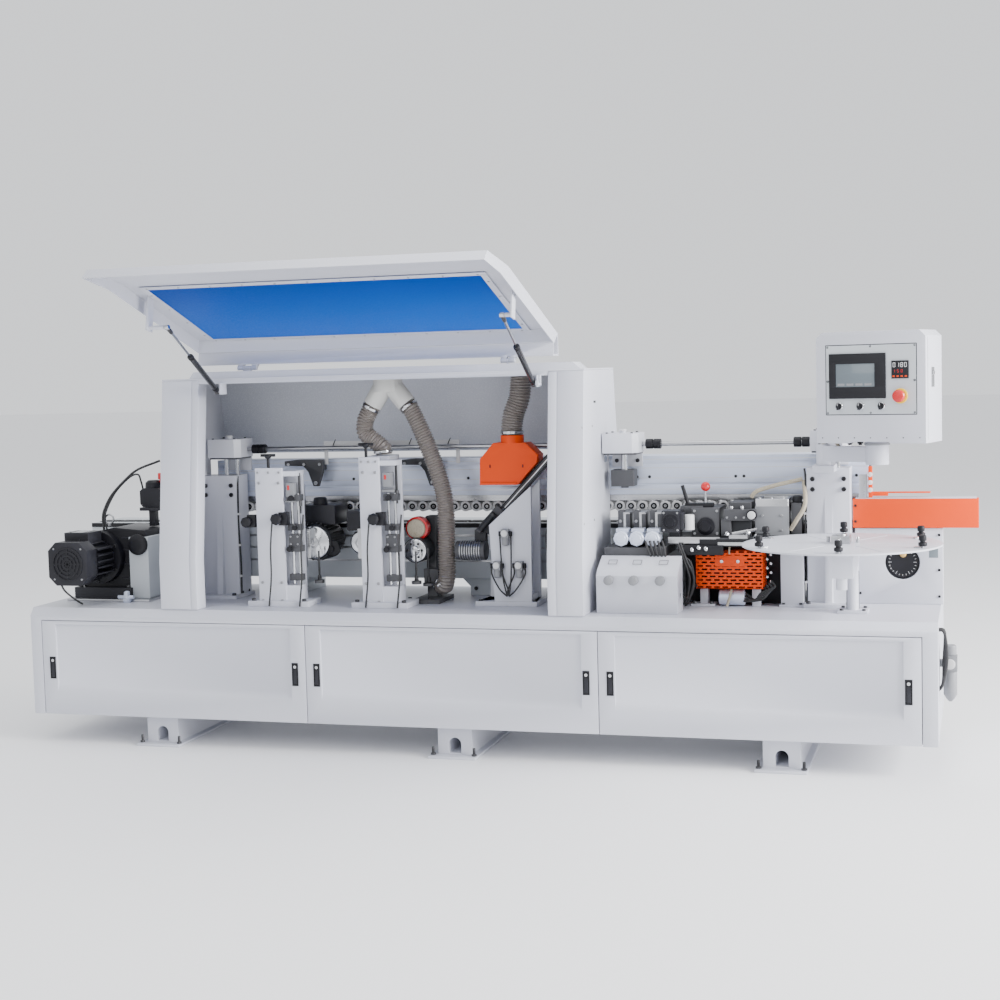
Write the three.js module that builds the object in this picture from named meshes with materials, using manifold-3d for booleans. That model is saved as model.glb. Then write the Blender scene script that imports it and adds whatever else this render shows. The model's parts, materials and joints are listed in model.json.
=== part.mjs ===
// Edge banding machine, in millimetres. X runs along the machine (to the infeed end),
// Y runs from the operator's side to the back, Z is up. Z = 0 is the floor, and the
// origin is under the centre of the base cabinet.
import * as THREE from 'three';
import { mergeVertices } from 'three/addons/utils/BufferGeometryUtils.js';
import Module from 'manifold-3d';

const wasm = await Module();
wasm.setup();

// Driving dimensions of the machine
const LENGTH = 3600;
const DEPTH = 800;
const FOOT_HEIGHT = 120;
const DECK = 558;
const CONVEYOR_FRONT = 115;
const CONVEYOR_TOP = 857;
const BOARD_GAP = 49;
const BEAM_FRONT = 110;
const BEAM_BOTTOM = 973;
const BEAM_TOP = 1126;
const SHAFT_Y = 50;
const SHAFT_Z = 1176;
const HOOD_LEFT = -1212;
const HOOD_RIGHT = 530;
const POST_WIDTH = { left: 162, right: 138 };
const HOOD_SHOULDER = 1470;
const HOOD_TOP = 1502;
const LID_LEFT = -1083;
const LID_RIGHT = 397;
const LID_HINGE = { y: -228, z: 1514 };
const LID_SWING = THREE.MathUtils.degToRad(101);
const STRUT_PIVOT = { y: -306, z: 1424 };
const STRUT_REST_ANGLE = THREE.MathUtils.degToRad(148.2);
const STRUT_LENGTH = 468;
const STRUT_X = { left: -962, right: 339 };
const SHEET = 4;
const GAP = 0.3;
const SWIVEL = { x: 1586, y: -190, z: 1189 };
const BOX_YAW = THREE.MathUtils.degToRad(-15);

const FRONT = -DEPTH / 2;
const BACK = DEPTH / 2;
const END = LENGTH / 2;
const ON_DECK = DECK + GAP;

// Paint and metal finishes
const FINISHES = {
  white_paint: { color: 0xdfe1e6, roughness: 0.45, metalness: 0.0 },
  grey_paint: { color: 0xaeb6bd, roughness: 0.5, metalness: 0.0 },
  orange_paint: { color: 0xff5a1c, roughness: 0.45, metalness: 0.0 },
  black_paint: { color: 0x17181b, roughness: 0.45, metalness: 0.1 },
  dark_casting: { color: 0x3a3c3f, roughness: 0.6, metalness: 0.4 },
  steel: { color: 0xb9bcc0, roughness: 0.35, metalness: 0.9 },
  aluminium: { color: 0xcdd3dd, roughness: 0.4, metalness: 0.8 },
  blue_window: { color: 0x0f6fd0, roughness: 0.2, metalness: 0.0 },
  hose_plastic: { color: 0x8f8780, roughness: 0.4, metalness: 0.0 },
  red_plastic: { color: 0xd8141f, roughness: 0.35, metalness: 0.0 },
  black_plastic: { color: 0x121315, roughness: 0.5, metalness: 0.0 },
};

// ---- Building blocks ----

const X_AXIS = new THREE.Vector3(1, 0, 0);
const Y_AXIS = new THREE.Vector3(0, 1, 0);
const Z_AXIS = new THREE.Vector3(0, 0, 1);

// Turns geometry drawn along Z so that it runs along the named axis.
const TURN = {
  x: new THREE.Matrix4().makeBasis(Y_AXIS, Z_AXIS, X_AXIS),
  y: new THREE.Matrix4().makeBasis(X_AXIS, Z_AXIS, Y_AXIS.clone().negate()),
  z: new THREE.Matrix4(),
};

// A closed geometry becomes a solid that can be joined and cut.
function solidOf(geometry) {
  geometry.deleteAttribute('normal');
  geometry.deleteAttribute('uv');
  const merged = mergeVertices(geometry, 1e-3);
  return new wasm.Manifold(new wasm.Mesh({
    numProp: 3,
    vertProperties: merged.attributes.position.array,
    triVerts: Uint32Array.from(merged.index.array),
  }));
}

function join(first, ...others) {
  return others.reduce((whole, piece) => whole.add(piece), first);
}

function box([x0, x1], [y0, y1], [z0, z1]) {
  const geometry = new THREE.BoxGeometry(x1 - x0, y1 - y0, z1 - z0);
  geometry.translate((x0 + x1) / 2, (y0 + y1) / 2, (z0 + z1) / 2);
  return solidOf(geometry);
}

// An outline pushed along an axis. The outline's points are (y, z), (x, z) or (x, y).
function prism(axis, points, from, to) {
  const outline = new THREE.Shape(points.map(([u, v]) => new THREE.Vector2(u, v)));
  const geometry = new THREE.ExtrudeGeometry(outline, { depth: to - from, bevelEnabled: false });
  geometry.translate(0, 0, axis === 'y' ? -to : from);
  geometry.applyMatrix4(TURN[axis]);
  return solidOf(geometry);
}

// A round bar along an axis, centred at (y, z), (x, z) or (x, y).
function bar(axis, from, to, [a, b], radius, sides = 16) {
  const geometry = new THREE.CylinderGeometry(radius, radius, to - from, sides);
  const middle = (from + to) / 2;
  geometry.rotateX(Math.PI / 2);
  geometry.translate(a, b, axis === 'y' ? -middle : middle);
  geometry.applyMatrix4(TURN[axis]);
  return solidOf(geometry);
}

// A round bar between two points.
function link(start, end, radius, sides = 12) {
  const a = new THREE.Vector3(...start);
  const b = new THREE.Vector3(...end);
  const geometry = new THREE.CylinderGeometry(radius, radius, a.distanceTo(b), sides);
  const turn = new THREE.Quaternion().setFromUnitVectors(Y_AXIS, b.clone().sub(a).normalize());
  geometry.applyQuaternion(turn);
  geometry.translate(...a.add(b).multiplyScalar(0.5).toArray());
  return solidOf(geometry);
}

// A round hose swept along a smooth route.
function hose(route, radius, steps, sides = 10) {
  const circle = new THREE.Shape();
  circle.absarc(0, 0, radius, 0, 2 * Math.PI);
  const path = new THREE.CatmullRomCurve3(route.map((point) => new THREE.Vector3(...point)));
  const settings = { steps, extrudePath: path, curveSegments: sides };
  return solidOf(new THREE.ExtrudeGeometry(circle, settings));
}

const machine = new THREE.Group();

// Adds one named sub-part; parent is the group that it sits in.
function addPart(name, solid, finish, parent = machine, position = [0, 0, 0]) {
  const { vertProperties, triVerts } = solid.getMesh();
  const geometry = new THREE.BufferGeometry();
  geometry.setAttribute('position', new THREE.BufferAttribute(vertProperties, 3));
  geometry.setIndex(new THREE.BufferAttribute(triVerts, 1));
  const mesh = new THREE.Mesh(geometry, new THREE.MeshStandardMaterial(FINISHES[finish]));
  mesh.name = name;
  mesh.position.set(...position);
  parent.add(mesh);
  return mesh;
}

function addGroup(position, parent = machine) {
  const group = new THREE.Group();
  group.position.set(...position);
  parent.add(group);
  return group;
}

// ---- Base cabinet, its doors and feet ----

const DOOR_BAYS = {
  left: [-1749, -587.5],
  middle: [-584.5, 581.5],
  right: [584.5, 1744],
};
const DOOR_TOP = 506;
const DOOR_THICKNESS = 32;
const DOOR_RECESS = 34;
const BAY_WALL = 12;
const DIVIDER = 20;

function baseCabinet() {
  const edge = [
    [FRONT, FOOT_HEIGHT], [BACK, FOOT_HEIGHT], [BACK, DECK], [FRONT + 25, DECK], [FRONT, DECK - 30],
  ];
  let cabinet = prism('x', edge, -END, END);
  const recess = box(
    [DOOR_BAYS.left[0] - 3, DOOR_BAYS.right[1] + 3],
    [FRONT - 1, FRONT + DOOR_RECESS],
    [FOOT_HEIGHT - 1, DOOR_TOP + 3],
  );
  cabinet = cabinet.subtract(recess);
  for (const [left, right] of Object.values(DOOR_BAYS)) {
    const bay = box(
      [left + DIVIDER, right - DIVIDER],
      [FRONT + DOOR_RECESS - 1, BACK - BAY_WALL],
      [FOOT_HEIGHT + BAY_WALL, DECK - BAY_WALL],
    );
    cabinet = cabinet.subtract(bay);
  }
  return cabinet;
}

// A folded sheet door: raised stiles, a recessed field and a proud kick band below.
function door(width) {
  const stile = 62;
  const fieldDepth = 9;
  const bandTop = 245;
  const bandBottom = 208;
  const half = width / 2;
  const panel = box([-half, half], [0, DOOR_THICKNESS], [FOOT_HEIGHT + 1, DOOR_TOP]);
  const field = [
    [-1, bandBottom], [fieldDepth, bandTop], [fieldDepth, DOOR_TOP - 14], [-1, DOOR_TOP - 14],
  ];
  const back = box(
    [-half + 5, half - 5],
    [fieldDepth + 3, DOOR_THICKNESS + 1],
    [FOOT_HEIGHT + 6, DOOR_TOP - 5],
  );
  return panel.subtract(prism('x', field, -half + stile, half - stile)).subtract(back);
}

function foot() {
  const plate = box([-95, 95], [FRONT + 5, BACK - 5], [0, 10]);
  const block = box([-69, 69], [FRONT + 55, BACK - 55], [9, FOOT_HEIGHT - GAP]);
  const archWidth = 24;
  const arch = join(
    box([-archWidth, archWidth], [FRONT, BACK], [14, 50]),
    bar('y', FRONT, BACK, [0, 50], archWidth, 16),
  );
  return join(plate, block).subtract(arch);
}

addPart('base_cabinet', baseCabinet(), 'white_paint');
for (const [side, [left, right]] of Object.entries(DOOR_BAYS)) {
  addPart(`door_${side}`, door(right - left), 'white_paint', machine, [(left + right) / 2, FRONT, 0]);
}
for (const [side, x] of Object.entries({ left: -1248, middle: 0, right: 1248 })) {
  addPart(`foot_${side}`, foot(), 'white_paint', machine, [x, 0, 0]);
}

// ---- Conveyor frame ----

const LEG_CENTRES = [-1690, -880, 0, 880, 1690];

function conveyorFrame() {
  const back = CONVEYOR_FRONT + 270;
  const bottom = 630;
  const shell = box([-END, END], [CONVEYOR_FRONT, back], [bottom, CONVEYOR_TOP]);
  const bore = box(
    [-END - 1, END + 1],
    [CONVEYOR_FRONT + 6, back - 6],
    [bottom + 6, CONVEYOR_TOP - 14],
  );
  const legs = LEG_CENTRES.map((x) => prism('y', [
    [x - 70, ON_DECK], [x + 70, ON_DECK], [x + 70, bottom - 35], [x + 105, bottom + 1],
    [x - 105, bottom + 1], [x - 70, bottom - 35],
  ], CONVEYOR_FRONT + 15, back - 15));
  return join(shell.subtract(bore), ...legs);
}

addPart('conveyor_frame', conveyorFrame(), 'grey_paint');

// ---- Hood: two folded side frames, a top rail with the roof, and a back panel ----

const HOOD_FRONT_KINK = [-380, 750];
const HOOD_FRONT_TOP = [-291.7, HOOD_SHOULDER];
const HOOD_BACK_TOP = [211, HOOD_SHOULDER];
const HOOD_BACK_KINK = [253, 1216];
const PASSAGE_TOP = 1145;
const PASSAGE_FRONT = 105;

// One side frame: the outer wall, the sloping front post and its inner return.
function hoodSide(outer, inner) {
  const away = Math.sign(inner - outer);
  const wall = [
    [HOOD_FRONT_KINK[0], ON_DECK], HOOD_FRONT_KINK, HOOD_FRONT_TOP, HOOD_BACK_TOP, HOOD_BACK_KINK,
    [HOOD_BACK_KINK[0], PASSAGE_TOP], [PASSAGE_FRONT, PASSAGE_TOP], [PASSAGE_FRONT, ON_DECK],
  ];
  const strip = (depth) => [
    [HOOD_FRONT_KINK[0], ON_DECK], HOOD_FRONT_KINK, HOOD_FRONT_TOP,
    [HOOD_FRONT_TOP[0] + depth, HOOD_SHOULDER], [HOOD_FRONT_KINK[0] + depth, HOOD_FRONT_KINK[1]],
    [HOOD_FRONT_KINK[0] + depth, ON_DECK],
  ];
  const between = (a, b) => [Math.min(a, b), Math.max(a, b)];
  const solid = join(
    prism('x', wall, ...between(outer, outer + away * SHEET)),
    prism('x', strip(SHEET + 1), ...between(outer, inner)),
    prism('x', strip(70), ...between(inner, inner - away * SHEET)),
  );
  const shaftSlot = box([outer - 10, outer + 10], [SHAFT_Y - 30, SHAFT_Y + 30], [1108, 1218]);
  return away < 0 ? solid.subtract(shaftSlot) : solid;
}

const POST_INNER = { left: HOOD_LEFT + POST_WIDTH.left, right: HOOD_RIGHT - POST_WIDTH.right };
const LID_HINGES = [[-906, -823], [191, 247]];
const KNUCKLE = 9;

function hoodTop() {
  const railBottom = 1454;
  const slope = (HOOD_FRONT_TOP[0] - HOOD_FRONT_KINK[0]) / (HOOD_SHOULDER - HOOD_FRONT_KINK[1]);
  const frontAt = (z) => HOOD_FRONT_TOP[0] + slope * (z - HOOD_SHOULDER);
  const shoulder = HOOD_SHOULDER + GAP;
  const rail = prism('x', [
    [frontAt(railBottom), railBottom], [frontAt(shoulder + 1), shoulder + 1], [-225, shoulder + 1],
    [-225, railBottom],
  ], POST_INNER.left + GAP, POST_INNER.right - GAP);
  const roof = box([HOOD_LEFT, HOOD_RIGHT], [HOOD_FRONT_TOP[0], HOOD_BACK_TOP[0]], [shoulder, shoulder + 6]);
  const cap = prism('y', [
    [-1098, shoulder], [-1075, HOOD_TOP], [486, HOOD_TOP], [522, shoulder],
  ], frontAt(HOOD_TOP), -170);
  const knuckles = LID_HINGES.map(([left, right]) => join(
    bar('x', left + 24, right - 24, [LID_HINGE.y, LID_HINGE.z], KNUCKLE),
    box([left + 24, right - 24], [LID_HINGE.y - 6, LID_HINGE.y + 6], [HOOD_TOP - 2, LID_HINGE.z]),
  ));
  const strutBrackets = Object.values(STRUT_X).map((x) => join(
    box([x + 13, x + 18], [STRUT_PIVOT.y - 12, -260], [STRUT_PIVOT.z - 12, railBottom + 2]),
    bar('x', x - 9, x + 14, [STRUT_PIVOT.y, STRUT_PIVOT.z], 5, 12),
  ));
  return join(roof, rail, cap, ...knuckles, ...strutBrackets);
}

function hoodBackPanel() {
  const [topY, topZ] = [HOOD_BACK_TOP[0], HOOD_SHOULDER - GAP];
  const bottom = PASSAGE_TOP + 5;
  return prism('x', [
    [topY, topZ], [HOOD_BACK_KINK[0], HOOD_BACK_KINK[1]], [HOOD_BACK_KINK[0], bottom],
    [HOOD_BACK_KINK[0] - SHEET, bottom], [HOOD_BACK_KINK[0] - SHEET, HOOD_BACK_KINK[1]],
    [topY - SHEET, topZ],
  ], HOOD_LEFT + SHEET + GAP, HOOD_RIGHT - SHEET - GAP);
}

addPart('hood_left_side', hoodSide(HOOD_LEFT, POST_INNER.left), 'white_paint');
addPart('hood_right_side', hoodSide(HOOD_RIGHT, POST_INNER.right), 'white_paint');
addPart('hood_top', hoodTop(), 'white_paint');
addPart('hood_back_panel', hoodBackPanel(), 'grey_paint');

// ---- Lid: drawn closed about its hinge, then swung open ----

const LID_OUTLINE = [
  [-13, -2.5], [-64, 0], [-156, -719], [-155, -911], [-194, -877], [-202, -631], [-111, 58], [-29, 78],
];
const LID_CAVITY = [
  [28, -9], [-116, -9], [-198, -631], [-190, -873], [-154, -904], [28, -904],
];
const LID_TOP_BORE = [[-20, 2], [-60, 4], [-106, 52], [-34, 71]];
const WINDOW = { left: -1010, right: 288, top: -22, bottom: -588 };
const STRUT_PIN_ON_LID = { y: -63, z: -497 };
const SKIN_SLOPE = (LID_CAVITY[1][0] - LID_CAVITY[2][0]) / (LID_CAVITY[1][1] - LID_CAVITY[2][1]);
const skinAt = (z) => LID_CAVITY[1][0] + SKIN_SLOPE * (z - LID_CAVITY[1][1]);

// A plate on the lid's skin with a boss that reaches towards the strut's rod end.
function strutPlate(strut, plate) {
  const toStrut = Math.sign(strut - plate);
  const boss = [plate, strut - toStrut * 12].sort((a, b) => a - b);
  const { y, z } = STRUT_PIN_ON_LID;
  return join(
    box([plate - 3, plate + 3], [skinAt(z) - 2, y + 13], [z - 22, z + 22]),
    bar('x', ...boss, [y, z], 8, 12),
  );
}

function lidFrame() {
  const flange = 4;
  const shell = prism('x', LID_OUTLINE, LID_LEFT, LID_RIGHT);
  const cavity = prism('x', LID_CAVITY, LID_LEFT + flange, LID_RIGHT - flange);
  const topBore = prism('x', LID_TOP_BORE, LID_LEFT - 1, LID_RIGHT + 1);
  const window = box([WINDOW.left, WINDOW.right], [-260, -90], [WINDOW.bottom, WINDOW.top]);
  const knuckles = LID_HINGES.flatMap(([left, right]) => [[left, left + 23], [right - 23, right]])
    .map(([from, to]) => join(
      bar('x', from, to, [0, 0], KNUCKLE),
      prism('x', [[-2, 2], [-2, 8], [-26, 30], [-40, 10], [-14, -6]], from, to),
    ));
  return join(
    shell.subtract(cavity).subtract(topBore).subtract(window),
    ...knuckles,
    strutPlate(STRUT_X.left, -1037),
    strutPlate(STRUT_X.right, 378),
  );
}

function lidWindow() {
  const [top, bottom] = [WINDOW.top + 11, WINDOW.bottom - 15];
  const near = GAP + 0.1;
  return prism('x', [
    [skinAt(top) + near, top - 1], [skinAt(bottom) + near, bottom],
    [skinAt(bottom) + near + 3, bottom], [skinAt(top) + near + 3, top - 1],
  ], WINDOW.left - 15, WINDOW.right + 15);
}

const lid = addGroup([0, LID_HINGE.y, LID_HINGE.z]);
lid.rotation.x = -LID_SWING;
addPart('lid_frame', lidFrame(), 'white_paint', lid);
addPart('lid_window', lidWindow(), 'blue_window', lid);

// Gas struts, drawn along +Y from the pivot on the hood's rail.
function strutCylinder() {
  const eye = bar('x', -7, 7, [0, 0], 12, 16);
  const tube = bar('y', 8, 265, [0, 0], 11, 16);
  const pinHole = bar('x', -10, 10, [0, 0], 6.5, 16);
  const bore = bar('y', 150, 270, [0, 0], 6.5, 16);
  return join(eye, tube).subtract(pinHole).subtract(bore);
}

function strutRod() {
  const rod = bar('y', 225, STRUT_LENGTH - 6, [0, 0], 5, 12);
  const end = bar('x', -8, 8, [STRUT_LENGTH, 0], 9, 12);
  return join(rod, end);
}

for (const [side, x] of Object.entries(STRUT_X)) {
  const strut = addGroup([x, STRUT_PIVOT.y, STRUT_PIVOT.z]);
  strut.rotation.x = STRUT_REST_ANGLE;
  addPart(`strut_cylinder_${side}`, strutCylinder(), 'black_paint', strut);
  addPart(`strut_rod_${side}`, strutRod(), 'black_paint', strut);
}

// ---- Pressure beam with its rollers, lifted on columns ----

const BEAM = { left: -1180, right: 1536, depth: 130, wall: 4 };
const ROLLER_RADIUS = 22;
const ROLLER_PITCH = 90;
const COLUMN_TOP = { left: 1069, right: 1080 };
const COLUMN_X = { left: -1116, right: 1395 };
const COLUMN_DEPTH = [-20, 95];
const BLOCK_X = { left: -1078, middle: 605, right: 1402 };
const BLOCK_HALF = 70;
const BLOCK_Z = [1145, 1221];
const GUIDE_ROD = { spread: 25, y: 40, radius: 9 };

function pressureBeam() {
  const [y0, y1] = [BEAM_FRONT, BEAM_FRONT + BEAM.depth];
  const bore = box(
    [BEAM.left - 1, BEAM.right + 1],
    [y0 + BEAM.wall + 3, y1 - BEAM.wall],
    [BEAM_BOTTOM + BEAM.wall, BEAM_TOP - BEAM.wall],
  );
  const grooves = [1008, 1092].map((z) => box([BEAM.left - 1, BEAM.right + 1], [y0 - 1, y0 + 3], [z, z + 9]));
  let beam = box([BEAM.left, BEAM.right], [y0, y1], [BEAM_BOTTOM, BEAM_TOP]).subtract(bore);
  for (const groove of grooves) {
    beam = beam.subtract(groove);
  }
  return beam;
}

function rollerStrip() {
  const centre = CONVEYOR_TOP + BOARD_GAP + ROLLER_RADIUS;
  const [left, right] = [BEAM.left + 20, BEAM.right - 40];
  const [y0, y1] = [BEAM_FRONT + 14, BEAM_FRONT + 112];
  const rails = [[y0, y0 + 10], [y1 - 10, y1]].map((depth) => (
    box([left, right], depth, [centre - 12, BEAM_BOTTOM - GAP])
  ));
  const count = Math.floor((right - left) / ROLLER_PITCH);
  const rollers = Array.from({ length: count }, (_, index) => bar(
    'y', BEAM_FRONT + 5, BEAM_FRONT + 120, [left + ROLLER_PITCH * (index + 0.5), centre], ROLLER_RADIUS, 10,
  ));
  return join(...rails, ...rollers);
}

function column(top) {
  const half = 80;
  const [y0, y1] = COLUMN_DEPTH;
  const plate = box([-half - 10, half + 10], [y0 - 60, y1 + 10], [ON_DECK, ON_DECK + 14]);
  const body = box([-half, half], [y0, y1], [ON_DECK, top]);
  const rib = prism('x', [[y0 + 1, ON_DECK], [y0 - 26, ON_DECK], [y0 + 1, top - 90]], -14, 14);
  const hollow = box([-half + 12, half - 12], [y0 + 12, y1 - 12], [ON_DECK - 1, top - 130]);
  return join(plate, body, rib).subtract(hollow);
}

function guideBores(columnX, blockX, top) {
  const centres = [-GUIDE_ROD.spread, GUIDE_ROD.spread].map((offset) => blockX - columnX + offset);
  return join(...centres.map((x) => (
    bar('z', top - 131, top + 1, [x, GUIDE_ROD.y], GUIDE_ROD.radius + 1.5)
  )));
}

// The gearbox over a column: a block, its hanger on the beam and two guide rods.
function liftBlock() {
  const block = prism('z', [
    [-BLOCK_HALF, -40], [BLOCK_HALF - 22, -40], [BLOCK_HALF, -18], [BLOCK_HALF, 97], [-BLOCK_HALF, 97],
  ], ...BLOCK_Z);
  const inside = box([-BLOCK_HALF + 8, BLOCK_HALF - 24], [-32, 89], [BLOCK_Z[0] - 1, BLOCK_Z[1] - 8]);
  const hanger = box([-60, 60], [96, BEAM_FRONT - GAP], [1085, BLOCK_Z[1]]);
  const boss = bar('z', BLOCK_Z[1] - 1, BLOCK_Z[1] + 9, [0, 20], 13, 12);
  return join(block.subtract(inside), hanger, boss);
}

function guideRods() {
  return join(...[-GUIDE_ROD.spread, GUIDE_ROD.spread].map((x) => (
    bar('z', 1030, BLOCK_Z[1] - 5, [x, GUIDE_ROD.y], GUIDE_ROD.radius)
  )));
}

// The middle block has no column: a screw and its nut housing hang below it.
function middleNut() {
  const screw = bar('z', 1070, BLOCK_Z[1] - 5, [0, 40], 12);
  const housing = box([-46, 42], [0, 80], [1014, 1077]);
  return join(screw, housing);
}

const leftColumn = column(COLUMN_TOP.left)
  .subtract(guideBores(COLUMN_X.left, BLOCK_X.left, COLUMN_TOP.left));
const armShelf = box([-50, 30], [-115, 20], [COLUMN_TOP.right - 12, COLUMN_TOP.right + 14]);
const rightColumn = column(COLUMN_TOP.right).add(armShelf)
  .subtract(guideBores(COLUMN_X.right, BLOCK_X.right, COLUMN_TOP.right));
addPart('column_left', leftColumn, 'white_paint', machine, [COLUMN_X.left, 0, 0]);
addPart('column_right', rightColumn, 'white_paint', machine, [COLUMN_X.right, 0, 0]);
addPart('lift_block_left', liftBlock().add(guideRods()), 'white_paint', machine, [BLOCK_X.left, 0, 0]);
addPart('lift_block_middle', liftBlock().add(middleNut()), 'white_paint', machine, [BLOCK_X.middle, 0, 0]);
addPart('lift_block_right', liftBlock().add(guideRods()), 'white_paint', machine, [BLOCK_X.right, 0, 0]);
addPart('pressure_beam', pressureBeam(), 'aluminium');
addPart('roller_strip', rollerStrip(), 'steel');

// A cross shaft between two lift blocks, with its clamp couplings.
function crossShaft(from, to, couplings) {
  const [start, end] = [from + BLOCK_HALF + GAP, to - BLOCK_HALF - GAP];
  const shaft = bar('x', start, end, [SHAFT_Y, SHAFT_Z], 9, 12);
  return join(shaft, ...couplings.map((x) => bar('x', x, x + 60, [SHAFT_Y, SHAFT_Z], 20, 16)));
}

addPart('cross_shaft_long', crossShaft(BLOCK_X.left, BLOCK_X.middle, [-985, 440]), 'steel');
addPart('cross_shaft_short', crossShaft(BLOCK_X.middle, BLOCK_X.right, [690, 1262]), 'steel');

// ---- Conveyor drive at the outfeed end ----

const MOTOR = { x: -1616, z: 739, front: -400, flange: -170 };

function driveMotor() {
  const { x, z, front, flange } = MOTOR;
  const half = 88;
  const cut = 34;
  const cover = prism('y', [
    [x - half, z - half + cut], [x - half + cut, z - half], [x + half - cut, z - half],
    [x + half, z - half + cut], [x + half, z + half - cut], [x + half - cut, z + half],
    [x - half + cut, z + half], [x - half, z + half - cut],
  ], front, front + 80);
  const body = bar('y', front + 70, flange - GAP, [x, z], 80, 20);
  const fins = [-50, -25, 0, 25, 50].map((drop) => (
    box([x + 60, x + 92], [front + 85, flange - 20], [z + drop - 3, z + drop + 3])
  ));
  const terminalBox = box([x - 70, x + 40], [front + 100, flange - 25], [z + 60, z + 118]);
  return join(cover, body, terminalBox, ...fins);
}

function driveGearbox() {
  const { x, z, flange } = MOTOR;
  const flangeDisc = bar('y', flange, flange + 60, [x, z], 112, 24);
  const casing = prism('y', [
    [x - 90, 600], [x + 200, 575], [x + 226, 700], [x + 205, 850], [x + 60, 862], [x - 60, 835],
  ], flange + 40, 90);
  const feet = box([x - 118, x + 150], [flange + 10, 80], [ON_DECK, 612]);
  return join(flangeDisc, casing, feet);
}

addPart('drive_motor', driveMotor(), 'black_paint');
addPart('drive_gearbox', driveGearbox(), 'black_paint');

// ---- Trimming stations: a fixed stand and a head that is adjusted up and down ----

const STAND_FRONT = -240;

// Drawn from the stand's left edge. The rear plate stands behind and to the right.
function trimStand(width, top, rear) {
  const frontPlate = box([0, width], [STAND_FRONT, STAND_FRONT + 15], [ON_DECK, top]);
  const rearPlate = box(rear, [-170, -155], [ON_DECK, top - 20]);
  const cap = box([width - 30, rear[1]], [STAND_FRONT + 10, -155], [top - 34, top - 14]);
  const shelf = box([0, rear[1]], [STAND_FRONT + 10, -155], [ON_DECK, 640]);
  const plate = box([-40, rear[1] + 45], [STAND_FRONT - 25, -130], [ON_DECK, ON_DECK + 22]);
  return join(frontPlate, rearPlate, cap, shelf, plate);
}

// A cutter motor facing the operator, its dust cap and the slide behind the rear plate.
function trimHead(motorX, radius, slide) {
  const height = 801;
  const motor = bar('y', -110, 70, [motorX, height], radius, 20);
  const dustCap = box([motorX - 78, motorX + 78], [-70, 80], [height + radius - 12, height + radius + 85]);
  const left = Math.min(slide, motorX);
  const right = Math.max(slide + 50, motorX);
  const arm = box([left, right], [-150, -100], [height - 62, height + 62]);
  const slideBar = box([slide, slide + 50], [-150, -120], [700, 1040]);
  return join(motor, dustCap, arm, slideBar);
}

const ROUGH_TOP = 1152;
const DUST_PORT_Y = -90;
const fineStation = addGroup([-845, 0, 0]);
addPart('fine_trim_stand', trimStand(116, 1113, [91, 174]), 'white_paint', fineStation);
addPart('fine_trim_head', trimHead(212, 80, 112), 'dark_casting', fineStation);
const roughStation = addGroup([-400, 0, 0]);
const dustShelf = box([5, 100], [-165, -45], [ROUGH_TOP - 34, ROUGH_TOP]);
addPart('rough_trim_stand', trimStand(84, ROUGH_TOP, [59, 151]).add(dustShelf), 'white_paint', roughStation);
addPart('rough_trim_head', trimHead(-50, 56, 70), 'dark_casting', roughStation);

// ---- Buffing unit ----

function buffingUnit() {
  const motorX = -219;
  const footPlate = box([-235, -120], [-125, 60], [ON_DECK, ON_DECK + 16]);
  const post = box([-205, -165], [-20, 40], [ON_DECK, 900]);
  const motor = bar('y', -115, 60, [motorX, 771], 50, 20);
  const wheelGuard = bar('y', -40, 40, [motorX - 10, 850], 40, 20);
  const port = box([-205, -145], [-60, 0], [625, 690]);
  return join(footPlate, post, motor, wheelGuard, port);
}

addPart('buffing_unit', buffingUnit(), 'dark_casting');

// ---- End trimming unit: two side plates, an inclined rail, a carriage and a dust hood ----

const RAIL_LOW = [44, 836];
const RAIL_HIGH = [326, 1135];
const RAIL_Y = [-50, -20];

function inclined(along, across) {
  const length = Math.hypot(RAIL_HIGH[0] - RAIL_LOW[0], RAIL_HIGH[1] - RAIL_LOW[1]);
  const ux = (RAIL_HIGH[0] - RAIL_LOW[0]) / length;
  const uz = (RAIL_HIGH[1] - RAIL_LOW[1]) / length;
  return [RAIL_LOW[0] + ux * along - uz * across, RAIL_LOW[1] + uz * along + ux * across];
}

function endTrimStand() {
  const plate = [[118, 576], [269, 576], [275, 1028], [102, 876]];
  const behind = [[60, 576], [269, 576], [275, 1045], [70, 828]];
  return join(
    prism('y', plate, -155, -140),
    prism('y', behind, -19.7, -6),
    box([40, 290], [-160, -4], [ON_DECK, 577]),
    box([180, 260], [-141, -19], [576, 600]),
  );
}

function endTrimRail() {
  const halfWidth = 15;
  return prism('y', [
    inclined(0, -halfWidth), inclined(411, -halfWidth), inclined(411, halfWidth), inclined(0, halfWidth),
  ], ...RAIL_Y);
}

function endTrimCarriage() {
  const slider = prism('y', [
    inclined(20, -30), inclined(130, -30), inclined(130, 26), inclined(20, 26),
  ], -82, RAIL_Y[0] - GAP);
  const motor = bar('x', -50, 70, [-92, 770], 38, 16);
  const bracket = box([20, 66], [-82, -56], [760, 850]);
  return join(slider, motor, bracket);
}

const DUST_HOOD_Y = [-80, 10];
const DUST_COLLAR = { x: 172, y: -35, radius: 46 };

function dustHood() {
  const outline = [
    [47, 1028], [50, 1131], [106, 1193], [236, 1193], [286, 1145], [280, 1115], [201, 1028],
  ];
  const inside = [
    [52, 1018], [54, 1129], [108, 1189], [234, 1189], [281, 1144], [275, 1117], [196, 1030], [190, 1018],
  ];
  const shell = prism('y', outline, ...DUST_HOOD_Y);
  const hollow = prism('y', inside, DUST_HOOD_Y[0] + 4, DUST_HOOD_Y[1] - 4);
  const { x, y, radius } = DUST_COLLAR;
  return shell.subtract(hollow).add(bar('z', 1190, 1222, [x, y], radius, 20));
}

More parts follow.
